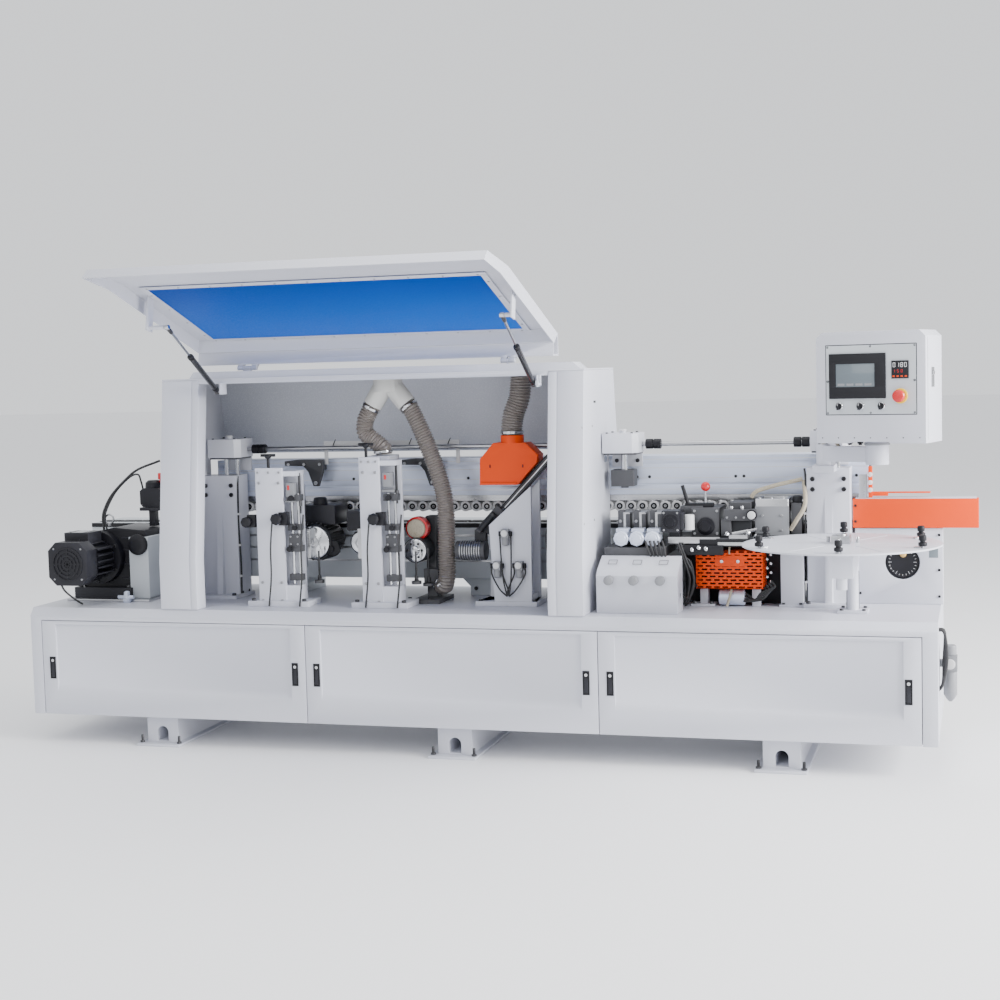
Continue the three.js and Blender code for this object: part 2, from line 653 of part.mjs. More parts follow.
addPart('end_trim_stand', endTrimStand(), 'white_paint');
addPart('end_trim_rail', endTrimRail(), 'steel');
addPart('end_trim_carriage', endTrimCarriage(), 'dark_casting');
addPart('end_trim_dust_hood', dustHood(), 'orange_paint');

// ---- Dust extraction duct and hoses ----

const ROOF_UNDERSIDE = HOOD_SHOULDER;
const inDuctPlane = ([x, z]) => [x, DUST_PORT_Y, z];
const SHORT_HOSE = [
  [-389.5, 1350.5], [-405, 1326], [-424, 1285], [-422, 1240], [-385, 1208], [-352, 1180], [-350, 1156],
].map(inDuctPlane);
const LONG_HOSE_DROP = [
  [-241.5, 1350], [-226, 1330], [-188, 1250], [-150, 1156], [-117, 1060],
  [-98, 975], [-93, 883], [-96, 779], [-96, 700], [-100, 655],
].map(inDuctPlane);
const LONG_HOSE_END = [
  [-114, DUST_PORT_Y + 10, 624], [-130, DUST_PORT_Y + 24, 638],
];
const LONG_HOSE = [...LONG_HOSE_DROP, ...LONG_HOSE_END];
const END_HOSE = [
  [213, -35, HOOD_SHOULDER - 2], [213, -35, 1430], [204, -35, 1365], [181, -35, 1305], [172, -35, 1255],
  [DUST_COLLAR.x, -35, 1224],
];
const HOSE_RADIUS = 36;

function extractionDuct() {
  return join(
    link([-322, DUST_PORT_Y, ROOF_UNDERSIDE - GAP], [-322, DUST_PORT_Y, 1404], 58, 16),
    link([-338, DUST_PORT_Y, 1432], [-388, DUST_PORT_Y, 1353], 40, 16),
    link([-306, DUST_PORT_Y, 1432], [-244, DUST_PORT_Y, 1353], 40, 16),
  );
}

addPart('extraction_duct', extractionDuct(), 'hose_plastic');
addPart('hose_short', hose(SHORT_HOSE, HOSE_RADIUS, 12), 'hose_plastic');
addPart('hose_long', hose(LONG_HOSE, HOSE_RADIUS, 28), 'hose_plastic');
addPart('hose_end_trim', hose(END_HOSE, DUST_COLLAR.radius - 2, 12), 'hose_plastic');

// ---- Air pressure box with three regulator knobs ----

const PRESSURE_BOX = { x: [558, 866], y: [-290, -180] };
const PRESSURE_KNOBS_X = [611, 705, 805];
const KNOB_Z = 686;

function pressureBox() {
  const [front, back] = PRESSURE_BOX.y;
  const outer = [
    [front, ON_DECK], [front, 700], [front + 22, 722], [back, 764], [back, ON_DECK],
  ];
  const inner = [
    [front + 3, ON_DECK + 4], [front + 3, 699], [front + 24, 719], [back - 3, 760], [back - 3, ON_DECK + 4],
  ];
  const [left, right] = PRESSURE_BOX.x;
  const cableHole = bar('x', right - 10, right + 10, [-230, 620], 12);
  return prism('x', outer, left, right).subtract(prism('x', inner, left + 3, right - 3)).subtract(cableHole);
}

function pressureKnob() {
  const skirt = bar('y', -10, -GAP, [0, 0], 13, 16);
  const grip = bar('y', -42, -9, [0, 0], 18, 16);
  return join(skirt, grip);
}

addPart('pressure_box', pressureBox(), 'white_paint');
PRESSURE_KNOBS_X.forEach((x, index) => {
  const place = [x, PRESSURE_BOX.y[0], KNOB_Z];
  addPart(`pressure_knob_${index + 1}`, pressureKnob(), 'steel', machine, place);
});

// ---- Tape feeding, gluing and pressing units ----

function pressUnit() {
  const pedestal = box([600, 770], [-140, 40], [ON_DECK, 762]);
  const plate = box([567, 797], [-175, 90], [760, 792]);
  const towers = [600, 662, 724].map((x) => box([x, x + 44], [-70, 88], [790, 918]));
  const cylinders = [630, 690, 750].map((x) => bar('y', -160, -60, [x, 826], 27, 16));
  return join(pedestal, plate, ...towers, ...cylinders);
}

function tapeTable() {
  const top = prism('z', [
    [801, -120], [1010, -140], [1312, -60], [1312, 95], [801, 95],
  ], 800, 826);
  const spine = box([840, 1290], [30, 95], [ON_DECK, 802]);
  const smallColumn = box([1219, 1301], [-55, 31], [ON_DECK, 802]);
  const stepMotor = box([786, 850], [-150, -70], [850, 930]);
  const motorBracket = box([806, 846], [-112, -60], [825, 852]);
  const cutterBlock = box([888, 992], [-80, 90], [825, 935]);
  const clampBlock = box([1030, 1112], [-70, 60], [825, 955]);
  return join(top, spine, smallColumn, stepMotor, motorBracket, cutterBlock, clampBlock);
}

function gluePot() {
  const [left, right] = [1127, 1250];
  const shell = box([left, right], [-55, 92], [826 + GAP, 967]);
  const well = box([left + 14, right - 14], [-30, 80], [880, 970]);
  return shell.subtract(well);
}

// A perforated guard over the glue motor, open at the back.
function glueCover() {
  const [x0, x1] = [904, 1156];
  const shell = box([x0, x1], [-100, 20], [629, 777]);
  const inside = box([x0 + 3, x1 - 3], [-97, 21], [632, 774]);
  const posts = [915, 1110].map((x) => box([x, x + 30], [-60, -15], [ON_DECK, 631]));
  return join(shell.subtract(inside), ...posts);
}

addPart('press_unit', pressUnit(), 'steel');
addPart('tape_table', tapeTable(), 'dark_casting');
addPart('glue_pot', gluePot(), 'steel');
addPart('glue_cover', glueCover(), 'orange_paint');

// ---- Infeed end ----

function infeedHousing() {
  const shell = box([1486, 1808], [60, CONVEYOR_FRONT - GAP], [ON_DECK, 846]);
  const hollow = box([1490, 1804], [64, CONVEYOR_FRONT + 1], [ON_DECK + 4, 842]);
  const dial = bar('y', 50, 70, [1660, 716], 64, 24);
  return shell.subtract(hollow).subtract(dial);
}

function infeedFence() {
  const [x0, x1] = [1479, 1937];
  const shell = box([x0, x1], [50, 108], [848, 957]);
  return shell.subtract(box([x0 - 1, x1 + 1], [54, 104], [840, 953]));
}

addPart('infeed_housing', infeedHousing(), 'white_paint');
addPart('infeed_fence', infeedFence(), 'orange_paint');

// ---- Tape coil carrier ----

const COIL = { x: 1472, y: -392, z: 832, radius: 348, thickness: 6 };

function coilStand() {
  const post = bar('z', ON_DECK, 760, [1492, -156], 23, 20);
  const plate = box([1440, 1548], [-208, -104], [ON_DECK, ON_DECK + 10]);
  const bracket = prism('x', [
    [COIL.y - 45, 717], [COIL.y + 60, 717], [-130, 745], [-130, 800], [COIL.y - 45, 800],
  ], 1443, 1515);
  const spindle = bar('z', 672, COIL.z - GAP, [COIL.x, COIL.y], 20, 16);
  return join(post, plate, bracket, spindle);
}

function coilDisc() {
  const { radius, thickness } = COIL;
  const hub = box([-33, 33], [-33, 33], [thickness - 1, 30]);
  return bar('z', 0, thickness, [0, 0], radius, 48).add(hub);
}

addPart('coil_stand', coilStand(), 'white_paint');
addPart('coil_disc', coilDisc(), 'white_paint', machine, [COIL.x, COIL.y, COIL.z]);

// ---- Control box on its swinging arm ----

const ARM_PIVOT = { x: 1384, y: -80, z: COLUMN_TOP.right + 14 + GAP };

// Drawn about the pivot on the column's shelf; reach is where the swivel bell stands.
function controlArm(reach) {
  const sleeve = bar('z', 0, 78, [0, 0], 26, 20);
  const beam = solidOf(armBeamGeometry(reach));
  const bell = bar('z', 8, SWIVEL.z - ARM_PIVOT.z - GAP, [reach.x, reach.y], 42, 24);
  return join(sleeve, beam, bell);
}

function armBeamGeometry(reach) {
  const length = Math.hypot(reach.x, reach.y);
  const geometry = new THREE.BoxGeometry(length, 44, 56);
  geometry.translate(length / 2, 0, 44);
  geometry.rotateZ(Math.atan2(reach.y, reach.x));
  return geometry;
}

const BOX = { left: -192, right: 208, front: -95, back: 95, bottom: -6, top: 392 };
const PANEL = { left: -139, right: 178, bottom: 102, top: 330 };

function controlBox() {
  const chamfer = 22;
  const outline = [
    [BOX.left, BOX.bottom], [-78, BOX.bottom], [-60, 0], [66, 0], [84, BOX.bottom],
    [BOX.right, BOX.bottom], [BOX.right, BOX.top - chamfer], [BOX.right - chamfer, BOX.top],
    [BOX.left + chamfer, BOX.top], [BOX.left, BOX.top - chamfer],
  ];
  const shell = prism('y', outline, BOX.front, BOX.back);
  const hollow = box([BOX.left + 4, BOX.right - 4], [BOX.front + 4, BOX.back - 4], [4, BOX.top - 26]);
  const cableHole = bar('z', -10, 10, [0, 0], 15, 16);
  return shell.subtract(hollow).subtract(cableHole);
}

// The mushroom head stands off the panel by a little more than its travel.
function emergencyStop() {
  const head = bar('y', -34, -14, [0, 0], 22, 24);
  const stem = bar('y', -15, -7, [0, 0], 11, 16);
  return join(head, stem);
}

function selector() {
  const ring = bar('y', -10, -GAP, [0, 0], 14, 20);
  const grip = box([-5, 5], [-26, -9], [-13, 13]);
  return join(ring, grip);
}

const armReach = { x: SWIVEL.x - ARM_PIVOT.x, y: SWIVEL.y - ARM_PIVOT.y };
addPart('control_arm', controlArm(armReach), 'white_paint', machine, [ARM_PIVOT.x, ARM_PIVOT.y, ARM_PIVOT.z]);
const swivel = addGroup([SWIVEL.x, SWIVEL.y, SWIVEL.z]);
swivel.rotation.z = BOX_YAW;
addPart('control_box', controlBox(), 'white_paint', swivel);
const onPanel = (across, up) => [
  PANEL.left + across * (PANEL.right - PANEL.left),
  BOX.front,
  PANEL.bottom + up * (PANEL.top - PANEL.bottom),
];
addPart('emergency_stop', emergencyStop(), 'red_plastic', swivel, onPanel(0.812, 0.261));
[0.108, 0.352, 0.596].forEach((across, index) => {
  addPart(`selector_${index + 1}`, selector(), 'black_plastic', swivel, onPanel(across, 0.109));
});

export default machine;
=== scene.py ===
# Edge banding machine: finishes, detail pieces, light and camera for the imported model.
# Lengths are in millimetres. The camera, the lights, the floor and the joints' places are in metres.
import json
import math

import bmesh
import bpy
from mathutils import Matrix, Vector


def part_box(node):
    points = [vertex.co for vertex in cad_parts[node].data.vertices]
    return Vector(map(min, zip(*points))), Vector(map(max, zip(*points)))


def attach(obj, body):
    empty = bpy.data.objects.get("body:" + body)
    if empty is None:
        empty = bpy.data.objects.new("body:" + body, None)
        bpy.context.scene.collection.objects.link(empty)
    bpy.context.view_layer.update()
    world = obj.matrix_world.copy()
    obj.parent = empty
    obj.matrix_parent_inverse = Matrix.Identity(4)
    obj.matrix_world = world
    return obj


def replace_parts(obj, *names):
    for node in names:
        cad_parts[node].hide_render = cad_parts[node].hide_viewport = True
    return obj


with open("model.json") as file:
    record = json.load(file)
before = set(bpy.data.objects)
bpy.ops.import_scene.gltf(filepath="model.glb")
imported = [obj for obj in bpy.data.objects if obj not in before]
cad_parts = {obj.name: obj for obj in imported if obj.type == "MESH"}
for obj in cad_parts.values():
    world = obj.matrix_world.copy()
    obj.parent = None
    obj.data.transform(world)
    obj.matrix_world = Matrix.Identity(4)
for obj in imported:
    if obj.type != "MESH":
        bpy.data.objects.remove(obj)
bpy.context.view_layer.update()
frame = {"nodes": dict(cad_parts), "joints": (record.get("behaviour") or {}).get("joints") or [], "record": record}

MM = 0.001  # metres in a millimetre
scene = bpy.context.scene
NODE_BODY = {n: body for body, nodes in frame["record"]["behaviour"]["bodies"].items() for n in nodes}
JOINT = {joint["name"]: joint for joint in frame["joints"]}

LEFT, RIGHT = Vector((-1, 0, 0)), Vector((1, 0, 0))
TO_FRONT, TO_BACK = Vector((0, -1, 0)), Vector((0, 1, 0))
UP, DOWN = Vector((0, 0, 1)), Vector((0, 0, -1))


def mm(x, y, z):
    """A point, size or shift in millimetres."""
    return Vector((x, y, z))


def node_box(node):
    """The low and high corner of a CAD node's box, in millimetres."""
    return [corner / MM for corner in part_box(node)]


def spot(node, x=0.5, y=0.5, z=0.5):
    """A point in a CAD node's box, by fractions of its width, depth and height."""
    low, high = node_box(node)
    return Vector(low[i] + part * (high[i] - low[i]) for i, part in enumerate((x, y, z)))


# ---- Camera ----

CAMERA_PLACE = (1.95947, -6.24366, 1.48163)
CAMERA_YAW = 0.2888
CAMERA_PITCH = 0.0796
CAMERA_ROLL = 0.0271
CAMERA_LENS = 59.0


def add_camera():
    forward = Vector((-math.sin(CAMERA_YAW), math.cos(CAMERA_YAW), 0))
    side = Vector((math.cos(CAMERA_YAW), math.sin(CAMERA_YAW), 0))
    look = forward * math.cos(CAMERA_PITCH) - UP * math.sin(CAMERA_PITCH)
    level_top = UP * math.cos(CAMERA_PITCH) + forward * math.sin(CAMERA_PITCH)
    top = level_top * math.cos(CAMERA_ROLL) + side * math.sin(CAMERA_ROLL)
    right = side * math.cos(CAMERA_ROLL) - level_top * math.sin(CAMERA_ROLL)
    data = bpy.data.cameras.new("camera")
    data.lens = CAMERA_LENS
    data.sensor_width = 36
    camera = bpy.data.objects.new("camera", data)
    turn = Matrix((right, top, -look)).transposed().to_4x4()
    camera.matrix_world = Matrix.Translation(CAMERA_PLACE) @ turn
    scene.collection.objects.link(camera)
    scene.camera = camera


# ---- Materials ----

class Nodes:
    """A short way to add and join a material's nodes."""

    def __init__(self, material):
        material.use_nodes = True
        self.tree = material.node_tree
        self.shader = self.tree.nodes["Principled BSDF"]

    def add(self, kind, **settings):
        node = self.tree.nodes.new(kind)
        for name, value in settings.items():
            setattr(node, name, value)
        return node

    def join(self, output, target):
        self.tree.links.new(output, target)

    def place(self, stretch):
        coordinates = self.add("ShaderNodeTexCoord")
        mapping = self.add("ShaderNodeMapping")
        mapping.inputs["Scale"].default_value = stretch
        self.join(coordinates.outputs["Object"], mapping.inputs["Vector"])
        return mapping.outputs["Vector"]

    def noise(self, vector, scale, detail=3.0):
        node = self.add("ShaderNodeTexNoise")
        node.inputs["Scale"].default_value = scale
        node.inputs["Detail"].default_value = detail
        self.join(vector, node.inputs["Vector"])
        return node.outputs["Fac"]

    def spread(self, value, low, high, start=0.3, end=0.7):
        node = self.add("ShaderNodeMapRange")
        for name, number in (("From Min", start), ("From Max", end), ("To Min", low), ("To Max", high)):
            node.inputs[name].default_value = number
        self.join(value, node.inputs["Value"])
        return node.outputs["Result"]

    def blend(self, factor, first, second):
        node = self.add("ShaderNodeMix", data_type="RGBA")
        self.join(factor, node.inputs["Factor"])
        for socket, value in ((node.inputs[6], first), (node.inputs[7], second)):
            if isinstance(value, tuple):
                socket.default_value = (*value, 1)
            else:
                self.join(value, socket)
        return node.outputs[2]


def shade(color, factor):
    return tuple(min(1.0, channel * factor) for channel in color)


def finish(name, color, rough, metal=0.0, grain=600.0, bump=0.1, stretch=(1, 1, 1), vary=0.06,
           speckle=None, wear=None, coat=0.0, clear=0.0, ior=1.5, paint=None):
    """A finish with fine grain in bump and gloss. Its colour varies broadly, with optional specks and worn
    edges, or paint gives it."""
    material = bpy.data.materials.new(name)
    nodes = Nodes(material)
    place = nodes.place(stretch)
    fine = nodes.noise(place, grain, 2.0)
    if paint:
        result = paint(nodes)
    else:
        broad = nodes.spread(nodes.noise(place, 2.2), 0, 1)
        result = nodes.blend(broad, shade(color, 1 - vary), shade(color, 1 + vary))
    if speckle:
        specks = nodes.spread(nodes.noise(place, 260, 4.0), 0, 0.5, 0.5, 0.62)
        result = nodes.blend(specks, result, speckle)
    if wear:
        geometry = nodes.add("ShaderNodeNewGeometry")
        edges = nodes.spread(geometry.outputs["Pointiness"], 0, 0.7, 0.53, 0.6)
        result = nodes.blend(edges, result, wear)
    nodes.join(result, nodes.shader.inputs["Base Color"])
    nodes.join(nodes.spread(fine, rough - 0.05, rough + 0.07), nodes.shader.inputs["Roughness"])
    relief = nodes.add("ShaderNodeBump")
    relief.inputs["Strength"].default_value = bump
    relief.inputs["Distance"].default_value = 0.3 * MM
    nodes.join(fine, relief.inputs["Height"])
    nodes.join(relief.outputs["Normal"], nodes.shader.inputs["Normal"])
    nodes.shader.inputs["Metallic"].default_value = metal
    nodes.shader.inputs["Coat Weight"].default_value = coat
    nodes.shader.inputs["Transmission Weight"].default_value = clear
    nodes.shader.inputs["IOR"].default_value = ior
    return material


WHITE = finish("white_powder_coat", (0.56, 0.57, 0.63), 0.40, grain=900, bump=0.12,
               vary=0.018)
LID_WHITE = finish("lid_powder_coat", (0.56, 0.57, 0.63), 0.40, grain=900, bump=0.12,
                   vary=0.018)
BLOCK_WHITE = finish("block_powder_coat", (0.60, 0.61, 0.665), 0.40, grain=800, bump=0.15)
SPECKLED = finish("speckled_grey_paint", (0.58, 0.60, 0.66), 0.55, grain=500, bump=0.2,
                  speckle=(0.74, 0.76, 0.80))
GREY = finish("grey_powder_coat", (0.50, 0.53, 0.56), 0.45, grain=800, bump=0.12, vary=0.03)
ORANGE = finish("orange_powder_coat", (0.76, 0.058, 0.0), 0.42, grain=800, bump=0.14,
                vary=0.05,
                ior=1.3)
ENAMEL = finish("black_enamel", (0.006, 0.006, 0.009), 0.36, grain=500, bump=0.2, vary=0.15,
                wear=(0.05, 0.05, 0.06), ior=1.32)
STRUT_BLACK = finish("strut_lacquer", (0.02, 0.02, 0.023), 0.25, grain=900, bump=0.05,
                     coat=0.4)
CASTING = finish("dark_sand_casting", (0.020, 0.021, 0.025), 0.46, metal=0.15, grain=380,
                 bump=0.5,
                 vary=0.2, wear=(0.16, 0.16, 0.17), ior=1.35)
STEEL = finish("machined_steel", (0.36, 0.365, 0.38), 0.3, metal=1.0, grain=220, bump=0.08,
               stretch=(0.3, 1, 6), vary=0.08, wear=(0.75, 0.75, 0.77))
POST_STEEL = finish("turned_post_steel", (0.17, 0.175, 0.185), 0.2, metal=1.0, grain=300,
                    bump=0.05,
                    stretch=(1, 1, 9), vary=0.08)
CHROME = finish("ground_chrome", (0.60, 0.61, 0.63), 0.14, metal=1.0, grain=500, bump=0.02,
                stretch=(1, 1, 8), vary=0.04)
ALUMINIUM = finish("anodised_aluminium", (0.60, 0.65, 0.78), 0.34, metal=0.35, grain=300,
                   bump=0.06, stretch=(0.05, 4, 4), vary=0.05)
BOLT = finish("black_oxide_steel", (0.03, 0.03, 0.033), 0.35, metal=0.7, grain=700,
              bump=0.15,
              vary=0.2, wear=(0.2, 0.2, 0.21))
RUBBER = finish("black_rubber", (0.025, 0.025, 0.027), 0.7, grain=450, bump=0.35, vary=0.2)
PLASTIC = finish("black_moulded_plastic", (0.010, 0.010, 0.013), 0.42, grain=1200,
                 bump=0.2,
                 vary=0.12, ior=1.35)
GREY_PLASTIC = finish("grey_moulded_plastic", (0.22, 0.225, 0.24), 0.4, grain=1200, bump=0.15)
WHITE_PLASTIC = finish("white_moulded_plastic", (0.62, 0.62, 0.63), 0.38, grain=1000, bump=0.1)
HOSE = finish("ribbed_hose_plastic", (0.21, 0.185, 0.17), 0.3, grain=240, bump=0.12,
              vary=0.12,
              coat=0.3, clear=0.15)
DUCT = finish("milky_duct_plastic", (0.62, 0.62, 0.60), 0.4, grain=240, bump=0.1, vary=0.06,
              coat=0.2, clear=0.1)
RED = finish("red_moulded_plastic", (0.55, 0.004, 0.008), 0.28, grain=900, bump=0.08,
             coat=0.3)
YELLOW = finish("yellow_plastic", (0.85, 0.55, 0.02), 0.4, grain=900, bump=0.08)
BRASS = finish("brass", (0.72, 0.47, 0.16), 0.28, metal=1.0, grain=400, bump=0.1, vary=0.1)
SCREEN = finish("screen_glass", (0.12, 0.15, 0.17), 0.12, grain=300, bump=0.01, coat=0.6)
SLEEVE = finish("braided_sleeve", (0.42, 0.37, 0.28), 0.7, grain=420, bump=0.8, vary=0.15,
                speckle=(0.2, 0.17, 0.12))


def window_blue_with_painted_shade(nodes):
    """A blue with painted shade, darker towards the window's outer edge."""
    low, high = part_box("lid_window")
    coordinates = nodes.add("ShaderNodeTexCoord")
    split = nodes.add("ShaderNodeSeparateXYZ")
    nodes.join(coordinates.outputs["Object"], split.inputs["Vector"])
    depth = nodes.spread(split.outputs["Y"], 0, 1, low.y, high.y)
    return nodes.blend(depth, (0.0, 0.04, 0.27), (0.001, 0.12, 0.58))


# The window's finish carries painted shade: its blue darkens towards the outer edge.
WINDOW = finish("tinted_blue_window", None, 0.42, grain=150, bump=0.02, ior=1.12,
                paint=window_blue_with_painted_shade)


# ---- Shapes ----

def round_edges(mesh, width, angle=34.0):
    """Bevels the sharp edges of a bmesh that is in metres."""
    if not width:
        return
    limit = math.radians(angle)
    sharp = [edge for edge in mesh.edges if edge.is_manifold and edge.calc_face_angle(0) > limit]
    bmesh.ops.bevel(mesh, geom=sharp, offset=width, offset_type="OFFSET", segments=2, profile=0.6,
                    affect="EDGES", clamp_overlap=True)


def add_object(name, mesh, material, body):
    """Turns a bmesh into a piece that rides on a body."""
    data = bpy.data.meshes.new(name)
    mesh.to_mesh(data)
    mesh.free()
    data.polygons.foreach_set("use_smooth", [True] * len(data.polygons))
    data.set_sharp_from_angle(angle=math.radians(38))
    data.materials.append(material)
    piece = bpy.data.objects.new(name, data)
    scene.collection.objects.link(piece)
    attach(piece, body)
    return piece


def refine(node, material, width=1.2):
    """Stands a copy of a CAD node, with rounded edges and its finish, in the node's place."""
    mesh = bmesh.new()
    mesh.from_mesh(frame["nodes"][node].data)
    bmesh.ops.remove_doubles(mesh, verts=mesh.verts, dist=0.01 * MM)
    bmesh.ops.dissolve_limit(mesh, angle_limit=math.radians(0.6), verts=mesh.verts, edges=mesh.edges)
    round_edges(mesh, width * MM)
    piece = add_object(f"{node}_skin", mesh, material, NODE_BODY[node])
    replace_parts(piece, node)
    return piece


class Piece:
    """A detail piece of simple shapes in millimetres, joined to a body. place moves it, in metres."""

    def __init__(self, name, material, bevel=0.8, body="frame", place=None):
        self.name = name
        self.body = body
        self.material = material
        self.bevel = bevel
        self.place = place or Matrix()
        self.mesh = bmesh.new()

    def block(self, low, high, turn=None):
        low, high = Vector(low), Vector(high)
        place = Matrix.Translation((low + high) / 2) @ (turn or Matrix())
        matrix = place @ Matrix.Diagonal((*(high - low), 1))
        bmesh.ops.create_cube(self.mesh, size=1, matrix=matrix)
        return self

    def block_at(self, centre, size, turn=None):
        half = Vector(size) / 2
        return self.block(Vector(centre) - half, Vector(centre) + half, turn)

    def skin(self, rings):
        """Faces from each ring of points to the next, with both ends closed."""
        for ring, following in zip(rings, rings[1:]):
            for k in range(len(ring)):
                nearby = (k + 1) % len(ring)
                self.mesh.faces.new((ring[k], ring[nearby], following[nearby], following[k]))
        self.mesh.faces.new(reversed(rings[0]))
        self.mesh.faces.new(rings[-1])
        return self

    def turned(self, start, axis, outline, sides=24):
        """A turned shape: outline holds (distance along the axis, radius) pairs."""
        basis = Vector(axis).to_track_quat("Z", "Y").to_matrix()
        rings = []
        for distance, radius in outline:
            rings.append([
                self.mesh.verts.new(Vector(start) + basis @ Vector((
                    radius * math.cos(2 * math.pi * k / sides),
                    radius * math.sin(2 * math.pi * k / sides), distance,
                ))) for k in range(sides)
            ])
        return self.skin(rings)

    def rod(self, start, end, radius, sides=24):
        axis = Vector(end) - Vector(start)
        return self.turned(start, axis, [(0, radius), (axis.length, radius)], sides)

    def ring(self, centre, axis, radius, thickness, height, sides=32):
        inner = radius - thickness
        return self.turned(centre, axis, [
            (0, inner), (0, radius), (height, radius), (height, inner), (height * 0.1, inner * 0.99),
        ], sides)

    def bolt(self, foot, axis, radius, height=None):
        """A socket head screw that stands on a surface."""
        height = height or radius * 0.9
        return self.turned(foot, axis, [
            (-0.5, radius), (height * 0.85, radius), (height, radius * 0.88), (height, radius * 0.5),
            (height * 0.45, radius * 0.46),
        ], 16)

    def bolts(self, feet, axis, radius, height=None):
        for foot in feet:
            self.bolt(foot, axis, radius, height)
        return self

    def prism(self, outline, axis, start, end):
        """An outline of (y, z), (x, z) or (x, y) points pushed along X, Y or Z."""
        def corner(u, v, w):
            return {"x": (w, u, v), "y": (u, w, v), "z": (u, v, w)}[axis]
        first = [self.mesh.verts.new(corner(u, v, start)) for u, v in outline]
        last = [self.mesh.verts.new(corner(u, v, end)) for u, v in outline]
        self.mesh.faces.new(first)
        self.mesh.faces.new(reversed(last))
        for k in range(len(outline)):
            nearby = (k + 1) % len(outline)
            self.mesh.faces.new((first[nearby], first[k], last[k], last[nearby]))
        return self

    def tube(self, route, radius, sides=12, rib=0.0, pitch=9):
        """A tube along a smooth route; rib raises a spiral on it, one turn for each pitch."""
        points = smooth_route(route, pitch / 6 if rib else radius * 1.2)
        side = (points[1] - points[0]).orthogonal().normalized()
        rings = []
        travelled = 0.0
        for index, point in enumerate(points):
            before = points[max(index - 1, 0)]
            after = points[min(index + 1, len(points) - 1)]
            along = (after - before).normalized()
            side = (side - along * side.dot(along)).normalized()
            across = along.cross(side)
            travelled += (point - before).length
            ring = []
            for k in range(sides):
                angle = 2 * math.pi * k / sides
                wave = math.cos(2 * math.pi * travelled / pitch - angle) if rib else 0.0
                swell = radius + rib * (0.5 * wave - 0.5)
                spoke = side * math.cos(angle) + across * math.sin(angle)
                ring.append(self.mesh.verts.new(point + spoke * swell))
            rings.append(ring)
        return self.skin(rings)

    def done(self):
        self.mesh.transform(Matrix.Scale(MM, 4))
        bmesh.ops.recalc_face_normals(self.mesh, faces=self.mesh.faces)
        round_edges(self.mesh, self.bevel * MM)
        self.mesh.transform(self.place)
        return add_object(self.name, self.mesh, self.material, self.body)


def smooth_route(route, step):
    """Points along a Catmull-Rom curve through the route, about one step apart."""
    route = [Vector(point) for point in route]
    padded = [route[0] * 2 - route[1], *route, route[-1] * 2 - route[-2]]
    points = [route[0]]
    for a, b, c, d in zip(padded, padded[1:], padded[2:], padded[3:]):
        count = max(2, round((c - b).length / step))
        for k in range(1, count + 1):
            t = k / count
            points.append(0.5 * (
                2 * b + (c - a) * t + (2 * a - 5 * b + 4 * c - d) * t * t + (3 * b - a - 3 * c + d) * t ** 3
            ))
    return points


def grid(xs, ys, zs):
    return [Vector((x, y, z)) for x in xs for y in ys for z in zs]


def steps(start, end, count):
    return [start + (end - start) * k / (count - 1) for k in range(count)]


# ---- Base cabinet, doors and feet ----

LATCH_INSET = 44
LATCH_RISE = 147
LATCH_SIZE = mm(26, 4, 90)
LOUVRES = 9
LOUVRE_PITCH = 24
LOUVRE_RISE = 120
BACK_PANEL_HALF = 480


def build_base():
    refine("base_cabinet", WHITE, 3)
    for side in ("left", "middle", "right"):
        add_door(f"door_{side}")
        add_foot(f"foot_{side}")
    add_air_filter()
    add_end_cables()
    add_back_panels()


def add_back_panels():
    """Screwed service panels with louvres on the back of the base, and one on the drive end; the louvres are dark
    bars of painted shade.
    """
    low, high = node_box("base_cabinet")
    panels = Piece("base_back_panels", WHITE, 1.2)
    # The louvres are flat dark bars: painted shade standing for the louvre openings.
    louvres = Piece("base_louvre_shade", PLASTIC, 0.4)
    screws = Piece("base_back_screws", BOLT, 0.2)
    for x in steps(low.x + 600, high.x - 600, 3):
        panels.block((x - BACK_PANEL_HALF, high.y - 1, low.z + 60),
                     (x + BACK_PANEL_HALF, high.y + 3, high.z - 60))
        screws.bolts(grid((x - 460, x, x + 460), (high.y + 3,), (low.z + 80, high.z - 80)),
                     TO_BACK, 6, 3)
        for k in range(LOUVRES):
            louvres.block_at((x + 300, high.y + 3, low.z + LOUVRE_RISE + LOUVRE_PITCH * k), mm(180, 2, 8))
    for k in range(LOUVRES):
        louvres.block_at((low.x, 150, low.z + LOUVRE_RISE + LOUVRE_PITCH * k), mm(2, 180, 8))
    panels.done()
    louvres.done()
    screws.done()
    hood_low, hood_high = node_box("hood_back_panel")
    rivets = Piece("hood_back_screws", BOLT, 0.2)
    rivets.bolts(grid(steps(hood_low.x + 60, hood_high.x - 60, 8), (hood_high.y,),
                      (hood_high.z - 30, hood_low.z + 40)), TO_BACK, 5, 2.5)
    rivets.done()


def add_door(door):
    refine(door, WHITE, 1.6)
    low, high = node_box(door)
    frames = Piece(f"{door}_latch_frames", PLASTIC, body=door)
    paddles = Piece(f"{door}_latch_paddles", ENAMEL, 1.2, door)
    locks = Piece(f"{door}_latch_locks", CHROME, 0.3, door)
    for x in (low.x + LATCH_INSET, high.x - LATCH_INSET):
        centre = Vector((x, low.y - 1, low.z + LATCH_RISE + LATCH_SIZE.z / 2))
        for side in (-1, 1):
            frames.block_at(centre + mm(side * 11, 0, 0), (4, 4, LATCH_SIZE.z))
            frames.block_at(centre + mm(0, 0, side * 43), (LATCH_SIZE.x, 4, 4))
        frames.block_at(centre + mm(0, 0.8, 0), (20, 1, 84))
        tilt = Matrix.Rotation(math.radians(-4), 4, "X")
        paddles.block_at(centre + mm(0, -1, -10), mm(15, 3, 56), tilt)
        locks.turned(centre + mm(0, 0, 30), TO_FRONT, [(0, 6), (2.4, 6), (2.4, 2), (1, 1.6)])
    for piece in (frames, paddles, locks):
        piece.done()


